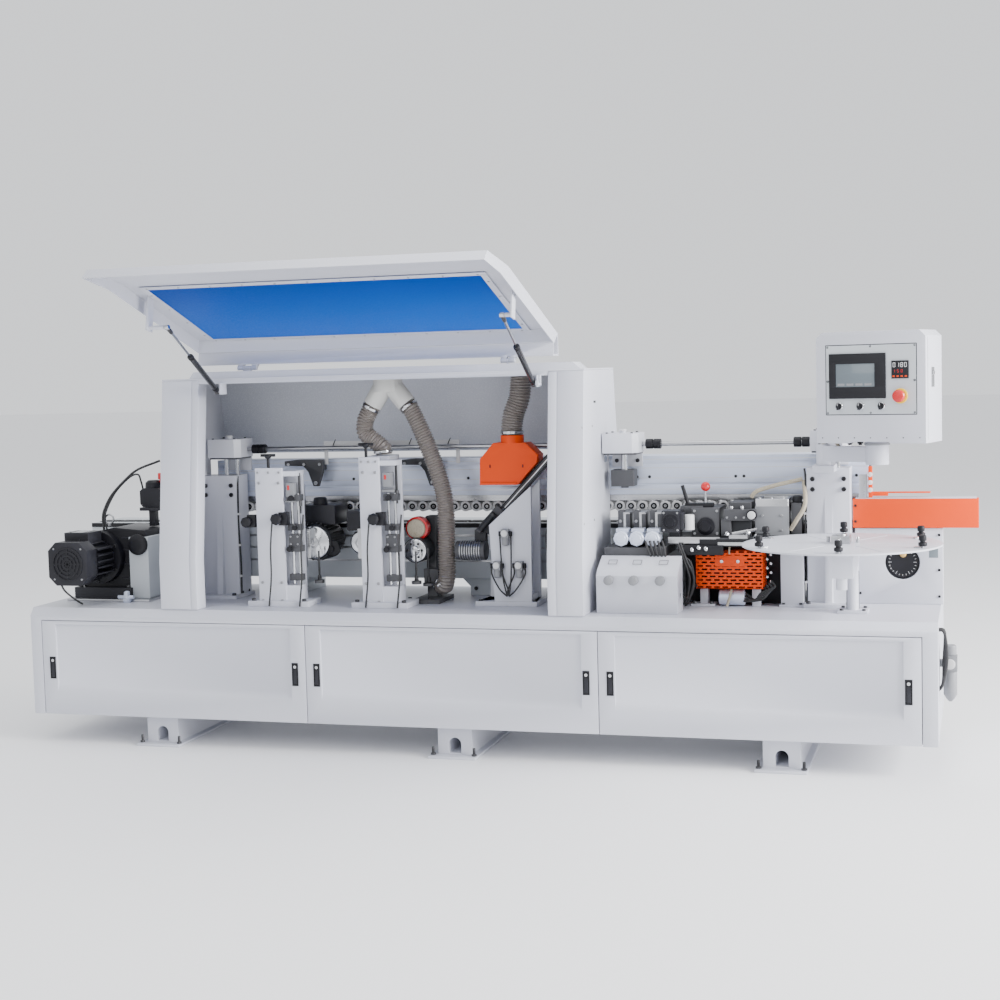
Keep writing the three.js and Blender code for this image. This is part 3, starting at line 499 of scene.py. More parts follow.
def add_foot(foot):
    refine(foot, WHITE, 2)
    low, high = node_box(foot)
    middle = (low.x + high.x) / 2
    bolts = Piece(f"{foot}_levelling_bolts", BOLT, 0.5)
    for x in (middle - 82, middle + 82):
        for y in (low.y + 30, high.y - 30):
            bolts.turned((x, y, 9), UP, [
                (0, 11), (8, 11), (8, 6), (30, 6), (32, 4.5),
            ], 6)
    bolts.done()


def add_air_filter():
    """The air service unit on the infeed end of the base."""
    corner = spot("base_cabinet", 1, 0.25, 0.45)
    body = Piece("air_filter_body", GREY_PLASTIC, 2)
    body.block(corner + mm(12, -24, 40), corner + mm(62, 26, 96))
    body.block(corner + mm(-1, -14, 55), corner + mm(14, 14, 80))
    body.turned(corner + mm(37, 0, 96), UP, [(0, 20), (6, 22), (34, 22), (38, 18)])
    body.turned(corner + mm(37, 0, 40), DOWN, [
        (0, 22), (10, 24), (86, 24), (100, 16), (112, 6),
    ])
    body.done()
    gauge = Piece("air_gauge", WHITE_PLASTIC, 0.8)
    gauge.turned(corner + mm(37, -24, 68), TO_FRONT, [(0, 18), (14, 18), (15, 15)])
    gauge.done()


def add_end_cables():
    top = spot("base_cabinet", 1, 0.12, 0.96)
    cables = Piece("end_cables", RUBBER, 0)
    for index, shift in enumerate((0, 14, 28)):
        start = top + mm(-2, shift, -20)
        cables.tube([start, start + mm(22, 0, -12), start + mm(30 - index * 6, 10, -110),
                     start + mm(14, 30, -200), start + mm(-3, 46, -228)], 5)
    cables.done()


# ---- Conveyor, pressure beam and its rollers ----

PAD_PITCH = 90
ROLLER_RADIUS = 21
ROLLER_PITCH = 46
ROLLER_WIDTH = 52
BEAM_NUTS = (-1080, -960, -560, -520, -60, 380, 420, 640, 690, 1030, 1062, 1300, 1490)


def build_conveyor():
    refine("conveyor_frame", GREY, 2)
    low, high = node_box("conveyor_frame")
    pads = Piece("conveyor_pads", RUBBER)
    count = int((high.x - low.x) / PAD_PITCH)
    for k in range(count):
        x = low.x + PAD_PITCH * k
        pads.block((x + 4, low.y + 60, high.z - 1), (x + 86, low.y + 130, high.z + 2.5))
    pads.done()
    edge = Piece("conveyor_chain_guard", PLASTIC, 0.5)
    edge.block((low.x, low.y - 2, high.z - 17), (high.x, low.y + 3, high.z + 0.5))
    edge.done()
    strips = Piece("conveyor_slot_strips", STEEL, 0.4)
    for drop in (46, 96, 150):
        strips.block((low.x, low.y - 1, high.z - drop - 9), (high.x, low.y + 1, high.z - drop))
    strips.done()
    bolts = Piece("conveyor_leg_bolts", BOLT, 0.3)
    for x in steps(low.x + 110, high.x - 110, 5):
        bolts.bolts([Vector((x + side * 45, low.y + 15, low.z + 30)) for side in (-1, 1)],
                    TO_FRONT, 8)
    bolts.done()


def build_beam():
    refine("pressure_beam", ALUMINIUM, 1)
    low, high = node_box("pressure_beam")
    lines = Piece("beam_slot_lines", STEEL, 0, "beam")
    for rise in (20, 64, 104, 138):
        lines.block(low + mm(1, -0.5, rise),
                    (high.x - 1, low.y + 0.5, low.z + (rise + 2)))
    lines.done()
    caps = Piece("beam_end_caps", PLASTIC, 1, "beam")
    for x, direction in ((low.x, 1), (high.x, -1)):
        caps.block_at((x + direction * 1, (low.y + high.y) / 2, (low.z + high.z) / 2),
                      (5, high.y - low.y - 8, high.z - low.z - 6))
    caps.done()
    nuts = Piece("beam_slot_nuts", BOLT, 0.3, "beam")
    for x in BEAM_NUTS:
        nuts.bolt((x, low.y, low.z + 70), TO_FRONT, 6, 3)
    nuts.done()
    add_rollers()


def add_rollers():
    """Two rows of pressure rollers."""
    low, high = node_box("roller_strip")
    height = low.z + ROLLER_RADIUS
    rail = Piece("roller_rail", STEEL, 1, "beam")
    rail.block((low.x, low.y + 4, height + ROLLER_RADIUS + 1), high + mm(0, -4, 0))
    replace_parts(rail.done(), "roller_strip")
    tyres = Piece("pressure_rollers", WHITE_PLASTIC, 0, "beam")
    hubs = Piece("pressure_roller_hubs", PLASTIC, 0, "beam")
    axles = Piece("pressure_roller_axles", STEEL, 0, "beam")
    count = int((high.x - low.x) / ROLLER_PITCH)
    for front in (low.y + 2, high.y - ROLLER_WIDTH - 2):
        for k in range(count):
            x = low.x + ROLLER_PITCH * (k + 0.5)
            start = Vector((x, front, height))
            tyres.turned(start, TO_BACK, [
                (3, 12), (0, 13), (0, 19), (1.5, ROLLER_RADIUS),
                (ROLLER_WIDTH - 1.5, ROLLER_RADIUS), (ROLLER_WIDTH, 20),
            ], 28)
            hubs.turned(start + mm(0, 1.2, 0), TO_BACK, [(0, 13), (2, 13.5)], 20)
            axles.turned(start - mm(0, 0.6, 0), TO_BACK, [
                (2.5, 2), (0, 2.5), (0, 5), (1, 5.6), (3, 5.6),
            ], 16)
    for piece in (tyres, hubs, axles):
        piece.done()


# ---- Lift blocks, columns and cross shafts ----

COLUMN_FACE = {"left": 60, "right": 95}
COLUMN_TOP = {"left": 1069, "right": 1080}


def build_lift():
    for side in ("left", "middle", "right"):
        add_lift_block(side)
    for side in ("left", "right"):
        add_column(side)
    add_cross_shaft("long", 23, 95)
    add_cross_shaft("short", 15, 70)
    low, high = node_box("cross_shaft_long")
    strip = Piece("beam_cable_duct", WHITE_PLASTIC, 1, "beam")
    x0, x1 = low.x + 331, high.x - 620
    strip.block((x0, high.y + 8, low.z + 14), (x1, high.y + 18, low.z + 46))
    strip.block((x0, high.y + 12, low.z - 50), (x0 + 16, high.y + 18, low.z + 20))
    strip.block((x1 - 16, high.y + 12, low.z - 50), (x1, high.y + 18, low.z + 20))
    strip.done()
    ties = Piece("cable_duct_ties", RUBBER, 0, "beam")
    for x in steps(x0 + 40, x1 - 50, 4):
        foot = Vector((x, high.y + 7, low.z + 8))
        ties.tube([foot, foot + mm(4, -3, 22), foot + mm(14, 0, 46)], 1.8)
    ties.done()


def add_lift_block(side):
    node = f"lift_block_{side}"
    refine(node, BLOCK_WHITE, 2.5)
    low, high = node_box(node)
    middle = Vector(((low.x + high.x) / 2, low.y + 80, high.z - 85))
    plates = Piece(f"{node}_guide_plates", CASTING, 1.5, "beam")
    plates.block(middle + mm(-66, -74, -7), middle + mm(64, 52, 0.2))
    plates.block(middle + mm(-58, 56.5, -58), middle + mm(58, 62, -6))
    bolts = Piece(f"{node}_bolts", BOLT, 0.3, "beam")
    bolts.bolts([middle + mm(x, y, 76) for x in (-54, 44) for y in (-62, 40)], UP, 5)
    rods = Piece(f"{node}_rods", CHROME, 0, "beam")
    if side == "middle":
        rods.rod(middle + mm(0, 0, -70), middle + mm(0, 0, -6), 12.4)
        plates.block(middle + mm(-46.6, -40.6, -131.6), middle + mm(42.6, 40.6, -67.6))
        bolts.bolts([middle + mm(x, 56.5, -36) for x in (-42, 42)], TO_FRONT, 8)
        bolts.turned(middle + mm(0, 0, -131), DOWN, [(0, 16), (8, 15)], 20)
    else:
        for x in (-25, 25):
            rods.rod(middle + mm(x, 0, -114), middle + mm(x, 0, -6), 9.4)
    cap = Piece(f"{node}_cap", WHITE_PLASTIC, 1, "beam")
    cap.turned((middle.x, low.y + 60, high.z - 1), UP, [
        (0, 15), (5, 15), (7, 12), (7, 5), (4, 4.6),
    ])
    for piece in (plates, bolts, rods, cap):
        piece.done()


def add_column(side):
    node = f"column_{side}"
    refine(node, WHITE, 2)
    low, high = node_box(node)
    front = low.y + COLUMN_FACE[side]
    centre = (low.x + high.x) / 2
    top = COLUMN_TOP[side]
    bolts = Piece(f"{node}_bolts", BOLT, 0.4)
    bolts.bolts(grid((centre - 58, centre + 58), (front,), (top - 80, top - 41)), TO_FRONT, 9)
    bolts.bolts(grid((centre - 74, centre + 74), (front - 45,), (low.z + 14,)), UP, 9, 10)
    bolts.bolts(grid((centre - 74, centre + 74), (front + 30, front + 90), (low.z + 14,)),
                UP, 9, 10)
    bolts.done()
    cable = Piece(f"{node}_cable", RUBBER, 0)
    edge = centre + (84 if side == "left" else -84)
    cable.tube([(edge, front + 8, low.z + 16), (edge + 3, front + 6, low.z + 150),
                (edge - 2, front + 6, low.z + 300), (edge, front + 8, top - 60),
                (edge - 6, front + 24, top - 3)], 4)
    cable.done()
    clips = Piece(f"{node}_cable_clips", WHITE_PLASTIC, 0.5)
    for rise in (90, 220, 350):
        clips.block_at((edge, front + 8, low.z + rise), mm(14, 13, 8))
    clips.done()


def add_cross_shaft(name, left_gap, right_gap):
    """A ground shaft with a split clamp coupling near each end."""
    node, body = f"cross_shaft_{name}", f"shaft_{name}"
    low, high = node_box(node)
    y, z = (low.y + high.y) / 2, (low.z + high.z) / 2
    bar = Piece(f"{node}_bar", STEEL, 0.5, body)
    bar.rod((low.x, y, z), (high.x, y, z), 9, 32)
    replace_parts(bar.done(), node)
    clamps = Piece(f"{node}_couplings", ENAMEL, 0.8, body)
    screws = Piece(f"{node}_coupling_screws", BOLT, 0.2, body)
    for x in (low.x + left_gap, high.x - right_gap):
        for start in (0, 31):
            clamps.turned((x + start, y, z), RIGHT, [
                (0, 10), (0, 18), (2, 19.6), (27, 19.6), (29, 18), (29, 10),
            ], 32)
            for along in (8, 21):
                screws.bolt((x + (start + along), y - 4, z + 17), UP, 4, 2.6)
                screws.bolt((x + (start + along), y + 4, z - 17), DOWN, 4, 2.6)
    clamps.done()
    screws.done()


# ---- Hood, lid and gas struts ----

POST_KINK = 750
POST_TOP_LEAN = 88.3
LID_PLACE = (
    Matrix.Translation(JOINT["lid_hinge"]["pos_m"])
    @ Matrix.Rotation(-math.radians(JOINT["lid_hinge"]["range_deg"][1]), 4, "X")
)


def build_hood():
    refine("hood_left_side", WHITE, 2)
    refine("hood_right_side", WHITE, 2)
    refine("hood_top", WHITE, 1.2)
    refine("hood_back_panel", SPECKLED, 1.2)
    left_low, left_high = node_box("hood_left_side")
    right_low, right_high = node_box("hood_right_side")
    add_post_facing("left", [(left_low.x + 1, left_high.x - 30), (left_high.x - 26, left_high.x - 1)])
    add_post_facing("right", [(right_low.x + 1, right_low.x + 33), (right_low.x + 38, right_high.x - 1)])
    screws = Piece("hood_wall_screws", STEEL, 0.2)
    wall = Vector((right_high.x, right_low.y, right_low.z))
    screws.bolts([wall + mm(0, y, z) for y in (36, 200) for z in (342, 700)], RIGHT, 4.5, 2)
    screws.done()
    # A flat dark block of painted shade stands for the slot in the hood wall.
    Piece("hood_wall_slot_shade", PLASTIC, 0.3).block_at(wall + mm(0.2, 250, 790), mm(1, 36, 8)).done()
    hook = Piece("lid_latch_hook", WHITE, 1)
    corner = spot("hood_top", 0.9, 0, 0) + mm(3, 4, 10)
    hook.block(corner + mm(-10, 0, -4), corner + mm(10, 8, 34))
    hook.block(corner + mm(-6, -14, -4), corner + mm(6, 2, 4))
    hook.block(corner + mm(-6, -18, -4), corner + mm(6, -12, 14))
    hook.done()


def add_post_facing(side, strips):
    """Two folded strips on the front of a post, with a groove between them."""
    low, high = node_box(f"hood_{side}_side")
    front, top = low.y, high.z
    facing = Piece(f"hood_{side}_post_facing", WHITE, 0.7)
    for x0, x1 in strips:
        facing.prism([
            (front + 0.3, low.z + 3), (front + 0.3, POST_KINK), (front + POST_TOP_LEAN + 0.3, top - 4),
            (front + POST_TOP_LEAN - 2.5, top - 4), (front - 2.5, POST_KINK), (front - 2.5, low.z + 3),
        ], "x", x0, x1)
    facing.done()


LID_SKIN = -112.6
LID_SKIN_SLOPE = 82 / 622


def lid_skin(z):
    """The inner face of the lid's window in the closed lid's own frame, z below the hinge."""
    return LID_SKIN + LID_SKIN_SLOPE * (z + 9)


def build_lid():
    refine("lid_frame", LID_WHITE, 2)
    refine("lid_window", WINDOW, 0.6)
    low, high = node_box("lid_window")
    left, right = low.x - 4, high.x + 4
    top, bottom = -7, -607
    lip = Piece("lid_window_lip", LID_WHITE, 1, "lid", LID_PLACE)
    for x0, x1, z0, z1 in ((left, right, top - 24, top), (left, right, bottom, bottom + 24),
                           (left, left + 24, bottom + 25, top - 25),
                           (right - 24, right, bottom + 25, top - 25)):
        skin0, skin1 = lid_skin(z0), lid_skin(z1)
        lip.prism([(skin0, z0), (skin1, z1), (skin1 + 3, z1), (skin0 + 3, z0)], "x", x0, x1)
    lip.done()
    screws = Piece("lid_window_screws", STEEL, 0.2, "lid", LID_PLACE)
    for x in steps(left + 30, right - 30, 11):
        for z in (top - 12, bottom + 12):
            screws.bolt((x, lid_skin(z) + 3, z), TO_BACK, 4.5, 2.2)
    for z in steps(bottom + 80, top - 80, 4):
        for x in (left + 12, right - 12):
            screws.bolt((x, lid_skin(z) + 3, z), TO_BACK, 4.5, 2.2)
    screws.done()
    for side in ("left", "right"):
        add_strut(side)


def add_strut(side):
    refine(f"strut_cylinder_{side}", STRUT_BLACK, 1)
    refine(f"strut_rod_{side}", CHROME, 0.6)
    axis = Vector(JOINT[f"strut_{side}_slide"]["axis"])
    place = (Matrix.Translation(JOINT[f"strut_{side}_swing"]["pos_m"])
             @ Matrix.Rotation(math.atan2(axis.z, axis.y), 4, "X"))
    collars = Piece(f"strut_collars_{side}", PLASTIC, 0.5, f"strut_cylinder_{side}", place)
    collars.turned(mm(0, 250, 0), TO_BACK, [(0, 12.4), (12, 12.4), (15.5, 8)])
    collars.turned(mm(0, 12, 0), TO_BACK, [(0, 8), (4, 12.2), (16, 12.2)])
    collars.done()
    socket = Piece(f"strut_socket_{side}", STRUT_BLACK, 0.6, f"strut_rod_{side}", place)
    socket.turned(mm(0, 428, 0), TO_BACK, [(0, 6), (4, 8), (22, 8), (30, 6)])
    socket.done()


# ---- Conveyor drive ----

def build_drive():
    refine("drive_motor", ENAMEL, 4)
    refine("drive_gearbox", ENAMEL, 5)
    low, high = node_box("drive_motor")
    front = Vector(((low.x + high.x) / 2 - 2, low.y, low.z + 88))
    grille = Piece("motor_grille", PLASTIC, 0.5)
    for radius in (22, 38, 54, 70):
        grille.ring(front + mm(0, 1, 0), TO_FRONT, radius, 7, 5)
    for turn in range(4):
        grille.block_at(front - mm(0, 1.5, 0), mm(142, 3, 6),
                        Matrix.Rotation(math.radians(45 * turn), 4, "Y"))
    grille.done()
    screws = Piece("motor_screws", STEEL, 0.2)
    screws.bolts([front + mm(x, 0.5, z) for x in (-62, 62) for z in (-62, 62)], TO_FRONT, 4, 2.5)
    screws.bolts([front + mm(x, 128, 120) for x in (-58, 28)], UP, 4, 2)
    screws.done()
    plate = Piece("motor_blank_plate", STEEL, 0.3)
    plate.block(front + mm(-40, 108, 118), front + mm(12, 200, 119.5))
    plate.done()
    fins = Piece("motor_fins", ENAMEL, 0.6)
    for k in range(20):
        turn = Matrix.Rotation(2 * math.pi * k / 20, 4, "Y")
        if abs(math.cos(2 * math.pi * k / 20)) < 0.97 or k > 14:
            fins.block_at(front + mm(0, 155, 0) + turn.to_3x3() @ mm(83, 0, 0), mm(16, 118, 3), turn)
    fins.done()
    add_gearbox_details(front)
    add_side_motor()


def add_gearbox_details(front):
    flange = front + mm(0, 229, 0)
    bolts = Piece("gearbox_bolts", BOLT, 0.4)
    for k in range(6):
        angle = math.radians(60 * k + 30)
        bolts.bolt(flange + mm(100 * math.cos(angle), 1, 100 * math.sin(angle)), TO_FRONT, 7)
    casing_low, casing_high = node_box("drive_gearbox")
    for x in (casing_low.x + 20, casing_low.x + 245):
        bolts.bolts(grid((x,), (casing_low.y + 30, casing_high.y - 40), (casing_low.z + 53,)),
                    UP, 9, 11)
    bolts.done()
    ribs = Piece("gearbox_ribs", ENAMEL, 2)
    for drop in (40, 90, 150, 210):
        ribs.block((casing_high.x - 130, casing_low.y + 36, casing_high.z - drop - 6),
                   (casing_high.x - 10, casing_low.y + 44, casing_high.z - drop))
    ribs.done()
    eye = Piece("gearbox_eye_bolt", STEEL, 0)
    top = Vector((casing_low.x + 116, casing_low.y + 120, casing_high.z + 28))
    eye.tube([top + mm(20 * math.cos(a), 0, 20 * math.sin(a)) for a in steps(-1.5, 4.75, 13)], 4)
    eye.rod(top - mm(0, 0, 28), top - mm(0, 0, 17), 6)
    eye.done()
    cover = Piece("gearbox_shaft_cover", PLASTIC, 1)
    cover.turned((casing_high.x - 41, casing_low.y + 21, casing_low.z + 235), TO_FRONT, [
        (0, 44), (10, 44), (16, 36), (18, 20),
    ], 32)
    cover.done()
    plate = Piece("gearbox_base_plate", STEEL, 1)
    plate.block(casing_low + mm(-18, -24, -0.2),
                (casing_high.x + 22, casing_high.y + 14, casing_low.z + 9))
    plate.done()
    cable = Piece("motor_cable", RUBBER, 0)
    terminal = front + mm(0, 320, 100)
    cable.tube([terminal + mm(-18, 10, 6), terminal + mm(-26, 18, 60), terminal + mm(-22, 34, 100),
                terminal + mm(0, 60, 155), terminal + mm(55, 90, 220),
                terminal + mm(100, 115, 258), terminal + mm(190, 140, 292)], 5)
    cable.tube([terminal + mm(-4, 10, 6), terminal + mm(-16, 20, 70), terminal + mm(8, 66, 158),
                terminal + mm(62, 96, 222), terminal + mm(100, 106, 236),
                terminal + mm(112, 110, 205), terminal + mm(116, 118, 170)], 4)
    lead = front + mm(-46, 20, -86)
    cable.tube([lead, lead + mm(6, 18, -30), lead + mm(26, 60, -70), lead + mm(40, 90, -92)], 4)
    cable.done()
    guard = Piece("gearbox_grey_guard", GREY, 2)
    guard.block((casing_high.x - 86, casing_low.y + 22, casing_low.z + 10),
                casing_high + mm(3, 3, -38))
    guard.done()
    valve = Piece("lubricator", ALUMINIUM, 1)
    foot = Vector((casing_high.x - 70, casing_low.y - 40, casing_low.z))
    valve.turned(foot, UP, [(0, 16), (18, 18), (20, 12), (44, 12), (48, 6)], 20)
    valve.rod(foot + mm(-40, 0, 22), foot + mm(30, 0, 22), 8)
    valve.done()


def add_side_motor():
    """The small black motor and counter at the outfeed end of the beam."""
    corner = spot("drive_gearbox", 0.88, 0.75, 1)
    motor = Piece("side_motor", ENAMEL, 1.5)
    motor.block(corner + mm(-26, -24, -6), corner + mm(2, 10, 66))
    motor.block(corner + mm(-50, -60, 62), corner + mm(38, 40, 76))
    motor.prism([
        (corner.x + across, corner.z + rise) for across, rise in (
            (-46, 92), (-34, 78), (40, 76), (52, 84), (52, 148), (40, 158), (-32, 158), (-46, 146))
    ], "y", corner.y - 60, corner.y + 20)
    motor.turned(corner + mm(0, -20, 156), UP, [(0, 36), (24, 34), (34, 22)], 28)
    motor.rod(corner + mm(-48, -20, 120), corner + mm(-56, -20, 120), 10)
    motor.done()
    knob = Piece("side_motor_knob", RED, 0.6)
    knob.turned(corner + mm(34, -16, 158), UP, [(0, 7), (34, 7), (36, 13), (60, 13), (62, 10)])
    knob.done()


# ---- Trimming, buffing and end trimming units ----

def add_trim_station(name, plate_width, top_knob, motor_radius):
    """The finishes and small parts of one trimming station."""
    stand = f"{name}_stand"
    refine(stand, WHITE, 1.2)
    low, high = node_box(stand)
    left = low.x + 40
    plate_front = low.y + 25
    right = left + plate_width
    screws = Piece(f"{stand}_screws", STEEL, 0.3)
    screws.bolts([Vector((x, plate_front, z)) for x in (left + 16, right - 16)
                        for z in (low.z + 22, low.z + 95, high.z - 60)], TO_FRONT, 6, 4)
    screws.bolts([Vector((x, plate_front, high.z - 18)) for x in steps(left + 12, right - 12, 3)],
                       TO_FRONT, 5, 4)
    screws.done()
    foot_bolts = Piece(f"{stand}_foot_bolts", BOLT, 0.4)
    foot_bolts.bolts([Vector((x, low.y + 13, low.z + 22)) for x in (low.x + 20, high.x - 20)],
                     UP, 9, 10)
    foot_bolts.done()
    knob = Piece(f"{stand}_top_knob", PLASTIC, 0.8)
    base = Vector((left + top_knob, plate_front + 8, high.z - 1))
    knob.rod(base, base + mm(0, 0, 42), 6)
    knob.turned(base + mm(0, 0, 38), UP, [(0, 9), (10, 15), (14, 15), (18, 10)])
    knob.block(base + mm(-30, -6, 46), base + mm(30, 6, 57))
    knob.done()
    star = Piece(f"{stand}_star_knob", PLASTIC, 1)
    hub = Vector((right - 18, plate_front, low.z + 352))
    star.rod(hub, hub + mm(0, -22, 0), 8)
    star.turned(hub + mm(0, -18, 0), TO_FRONT, [(0, 14), (5, 24), (18, 24), (23, 16)], 8)
    star.block(hub + mm(4, -16, -26), hub + mm(38, 20, 26))
    if name == "fine_trim":
        star.block(low + mm(-6, 30, 316), low + mm(30, 60, 366))
        star.turned(low + mm(-4, 36, 338), TO_FRONT, [
            (0, 12), (6, 22), (24, 22), (28, 15)], 8)
    star.done()
    add_counter(f"{stand}_counter", Vector((right + 26, plate_front + 34, high.z - 90)))
    add_slide(name, Vector((right + 34, plate_front + 40, low.z + 120)))
    add_head(name, motor_radius)


def add_counter(name, place):
    """A mechanical position counter with a small red window."""
    body = Piece(name, GREY_PLASTIC, 1.2)
    body.block_at(place, mm(34, 40, 56))
    body.block_at(place + mm(0, 6, -44), mm(50, 44, 10))
    body.done()
    Piece(f"{name}_window", RED, 0.3).block_at(place + mm(-6, -20.4, 10), mm(9, 1.6, 18)).done()
    stem = Piece(f"{name}_stem", BOLT, 0.3)
    stem.turned(place + mm(30, 10, -96), UP, [(0, 5), (30, 5), (30, 9), (52, 9),
                                              (54, 5), (160, 5), (164, 2)], 16)
    stem.done()


def add_slide(name, foot):
    """Chrome guide rods with clamps, which stand on the station beside its plate."""
    rods = Piece(f"{name}_guide_rods", CHROME, 0)
    for x in (-12, 16):
        rods.rod(foot + mm(x, 0, -34), foot + mm(x, 0, 330), 6)
    rods.done()
    clamps = Piece(f"{name}_rod_clamps", CASTING, 1.2)
    for rise, depth in ((-20, 14), (96, 20), (182, 16), (300, 22)):
        clamps.block(foot + mm(-26, -depth, rise), foot + mm(30, depth, rise + 26))
    clamps.block(foot + mm(-20, -24, 118), foot + mm(26, 4, 168))
    clamps.done()
    knobs = Piece(f"{name}_clamp_knobs", PLASTIC, 0.6)
    for rise, x in ((109, -14), (195, 12), (313, 0)):
        knobs.turned(foot + mm(x, -22, rise), TO_FRONT, [(0, 5), (8, 5), (9, 12), (20, 11)], 12)
    knobs.done()
    screws = Piece(f"{name}_clamp_screws", STEEL, 0.2)
    screws.bolts([foot + mm(x, -24, z) for x in (-12, 18) for z in (128, 158)], TO_FRONT, 4, 3)
    screws.done()
    handle = Piece(f"{name}_t_handle", BOLT, 0.6)
    handle.turned(foot + mm(84, 30, -34), UP, [(0, 20), (12, 20), (14, 9), (30, 7),
                                               (34, 4), (130, 4)], 16)
    handle.done()
    cable = Piece(f"{name}_cables", RUBBER, 0)
    for shift in (0, 22):
        cable.tube([foot + mm(-70 + shift * 6, -62, 250), foot + mm(-82 + shift * 6, -66, 120),
                    foot + mm(-84 + shift * 6, -66, 0),
                    foot + mm(-96 + shift * 6, -70, -117)], 3.4)
    cable.done()


def add_head(name, radius):
    """A cutter motor with cooling fins, a bright collar, its dust cap and its slide plate."""
    node = f"{name}_head"
    low, high = node_box(node)
    body = NODE_BODY[node]
    centre_x = low.x + 78
    axis = Vector((centre_x, low.y + 40, low.z + 101))
    motor = Piece(f"{node}_motor", CASTING, 1, body)
    motor.turned(axis, TO_BACK, [
        (0, radius - 14), (3, radius - 8), (20, radius - 6), (22, radius - 12),
        (150, radius - 12), (180, radius - 16),
    ], 40)
    for k in range(24):
        turn = Matrix.Rotation(2 * math.pi * k / 24, 4, "Y")
        motor.block_at(axis + mm(0, 85, 0) + turn.to_3x3() @ Vector((radius - 7, 0, 0)), mm(13, 118, 2.6),
                       turn)
    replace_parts(motor.done(), node)
    collar = Piece(f"{node}_bright_collar", CHROME, 0.6, body)
    collar.turned(axis + mm(0, -1, 0), TO_FRONT, [
        (-2, radius - 12), (3, radius - 14), (5, radius - 20), (6, 14), (16, 13),
    ], 40)
    collar.done()
    disc = Piece(f"{node}_cutter_disc", STEEL, 0.3, body)
    disc.turned(axis + mm(0, -10, 0), TO_FRONT, [(0, 16), (0, 24), (4, 24), (6, 10), (12, 9)], 6)
    disc.done()
    cap = Piece(f"{node}_dust_cap", ENAMEL, 6, body)
    cap.block((low.x, low.y + 82, axis.z + radius - 12), (low.x + 156, high.y, axis.z + radius + 68))
    cap.turned(Vector((centre_x, low.y + 120, axis.z + radius + 62)), UP, [(0, 30), (34, 27), (36, 20)])
    cap.done()
    arm = Piece(f"{node}_slide_plate", STEEL, 1.5, body)
    slide_x = high.x - 50 if name == "rough_trim" else low.x + 2
    arm.block((slide_x, low.y, low.z), (slide_x + 50, low.y + 30, high.z))
    arm.block((min(slide_x, centre_x), low.y + 2, axis.z - 60),
              (max(slide_x + 50, centre_x), low.y + 48, axis.z + 60))
    arm.done()
    bolts = Piece(f"{node}_bolts", BOLT, 0.3, body)
    bolts.bolts([Vector((slide_x + x, low.y, low.z + z)) for x in (12, 38) for z in (20, 110, 200, 310)],
                TO_FRONT, 5.5, 4)
    bolts.done()
    dial = Piece(f"{node}_side_disc", ENAMEL, 0.8, body)
    dial.turned(axis + Vector((radius - 8, 20, -26)), TO_FRONT, [
        (0, 34), (8, 34), (10, 28), (11, 12), (20, 11),
    ], 32)
    dial.done()


def add_beam_bracket(name, x, width):
    """A black cast bracket that hangs on the front of the beam over a station."""
    low = node_box("pressure_beam")[0]
    foot = Vector((x, low.y, low.z))
    bracket = Piece(name, CASTING, 3, "beam")
    outline = ((0, 150), (0.35, 156), (1, 156), (0.97, 100), (0.86, 44), (0.72, 44), (0.6, 104),
               (0.48, 128), (0, 130))
    bracket.prism([(foot.x + across * width, foot.z + rise) for across, rise in outline],
                  "y", foot.y - 58, foot.y - 40)
    bracket.block(foot + Vector((width * 0.55, -56, 110)), foot + Vector((width * 0.95, -1, 148)))
    bracket.done()
    bolts = Piece(f"{name}_bolts", STEEL, 0.3, "beam")
    bolts.bolts([foot + Vector((width * part, -58, 136)) for part in (0.1, 0.5, 0.9)],
                TO_FRONT, 6, 4)
    bolts.bolt(foot + Vector((width * 0.79, -58, 58)), TO_FRONT, 8, 4)
    bolts.done()


def build_trimming():
    add_trim_station("fine_trim", plate_width=116, top_knob=56, motor_radius=80)
    add_trim_station("rough_trim", plate_width=84, top_knob=30, motor_radius=56)
    add_beam_bracket("beam_bracket_left", spot("fine_trim_stand", x=0).x + 40, width=175)
    add_beam_bracket("beam_bracket_right", spot("rough_trim_stand", x=0).x + 110, width=170)
    build_buffing()
    build_end_trim()


def build_buffing():
    low = node_box("buffing_unit")[0]
    refine("buffing_unit", CASTING, 1.5)
    axis = low + mm(50, 0, 213)
    face = Piece("buffing_motor_face", CHROME, 0.6)
    face.turned(axis + mm(0, 10, 0), TO_FRONT, [
        (0, 47), (4, 46), (6, 38), (5, 20), (16, 18), (18, 8),
    ], 40)
    face.done()
    bolts = Piece("buffing_motor_bolts", BOLT, 0.3)
    for k in range(6):
        angle = math.radians(60 * k)
        bolts.bolt(axis + mm(30 * math.cos(angle), 5, 30 * math.sin(angle)), TO_FRONT, 5)
    bolts.bolts([low + mm(x, 20, 16) for x in (18, 100)], UP, 8)
    bolts.done()
    guard = Piece("buffing_red_guard", RED, 1)
    guard.turned(axis + mm(-4, 44, 84), TO_BACK, [(0, 40), (2, 47), (40, 47), (42, 40)], 40)
    guard.done()
    wheel = Piece("buffing_wheel", SLEEVE, 0)
    wheel.turned(axis + mm(-4, 34, 84), TO_BACK, [(0, 12), (0, 36), (3, 38), (9, 38)], 40)
    wheel.done()
    screw = Piece("buffing_t_screw", BOLT, 0.5)
    screw.turned(axis + mm(60, -10, -138), UP, [(0, 24), (11, 24), (14, 9), (34, 8),
                                                (36, 4), (150, 4)], 20)
    screw.done()


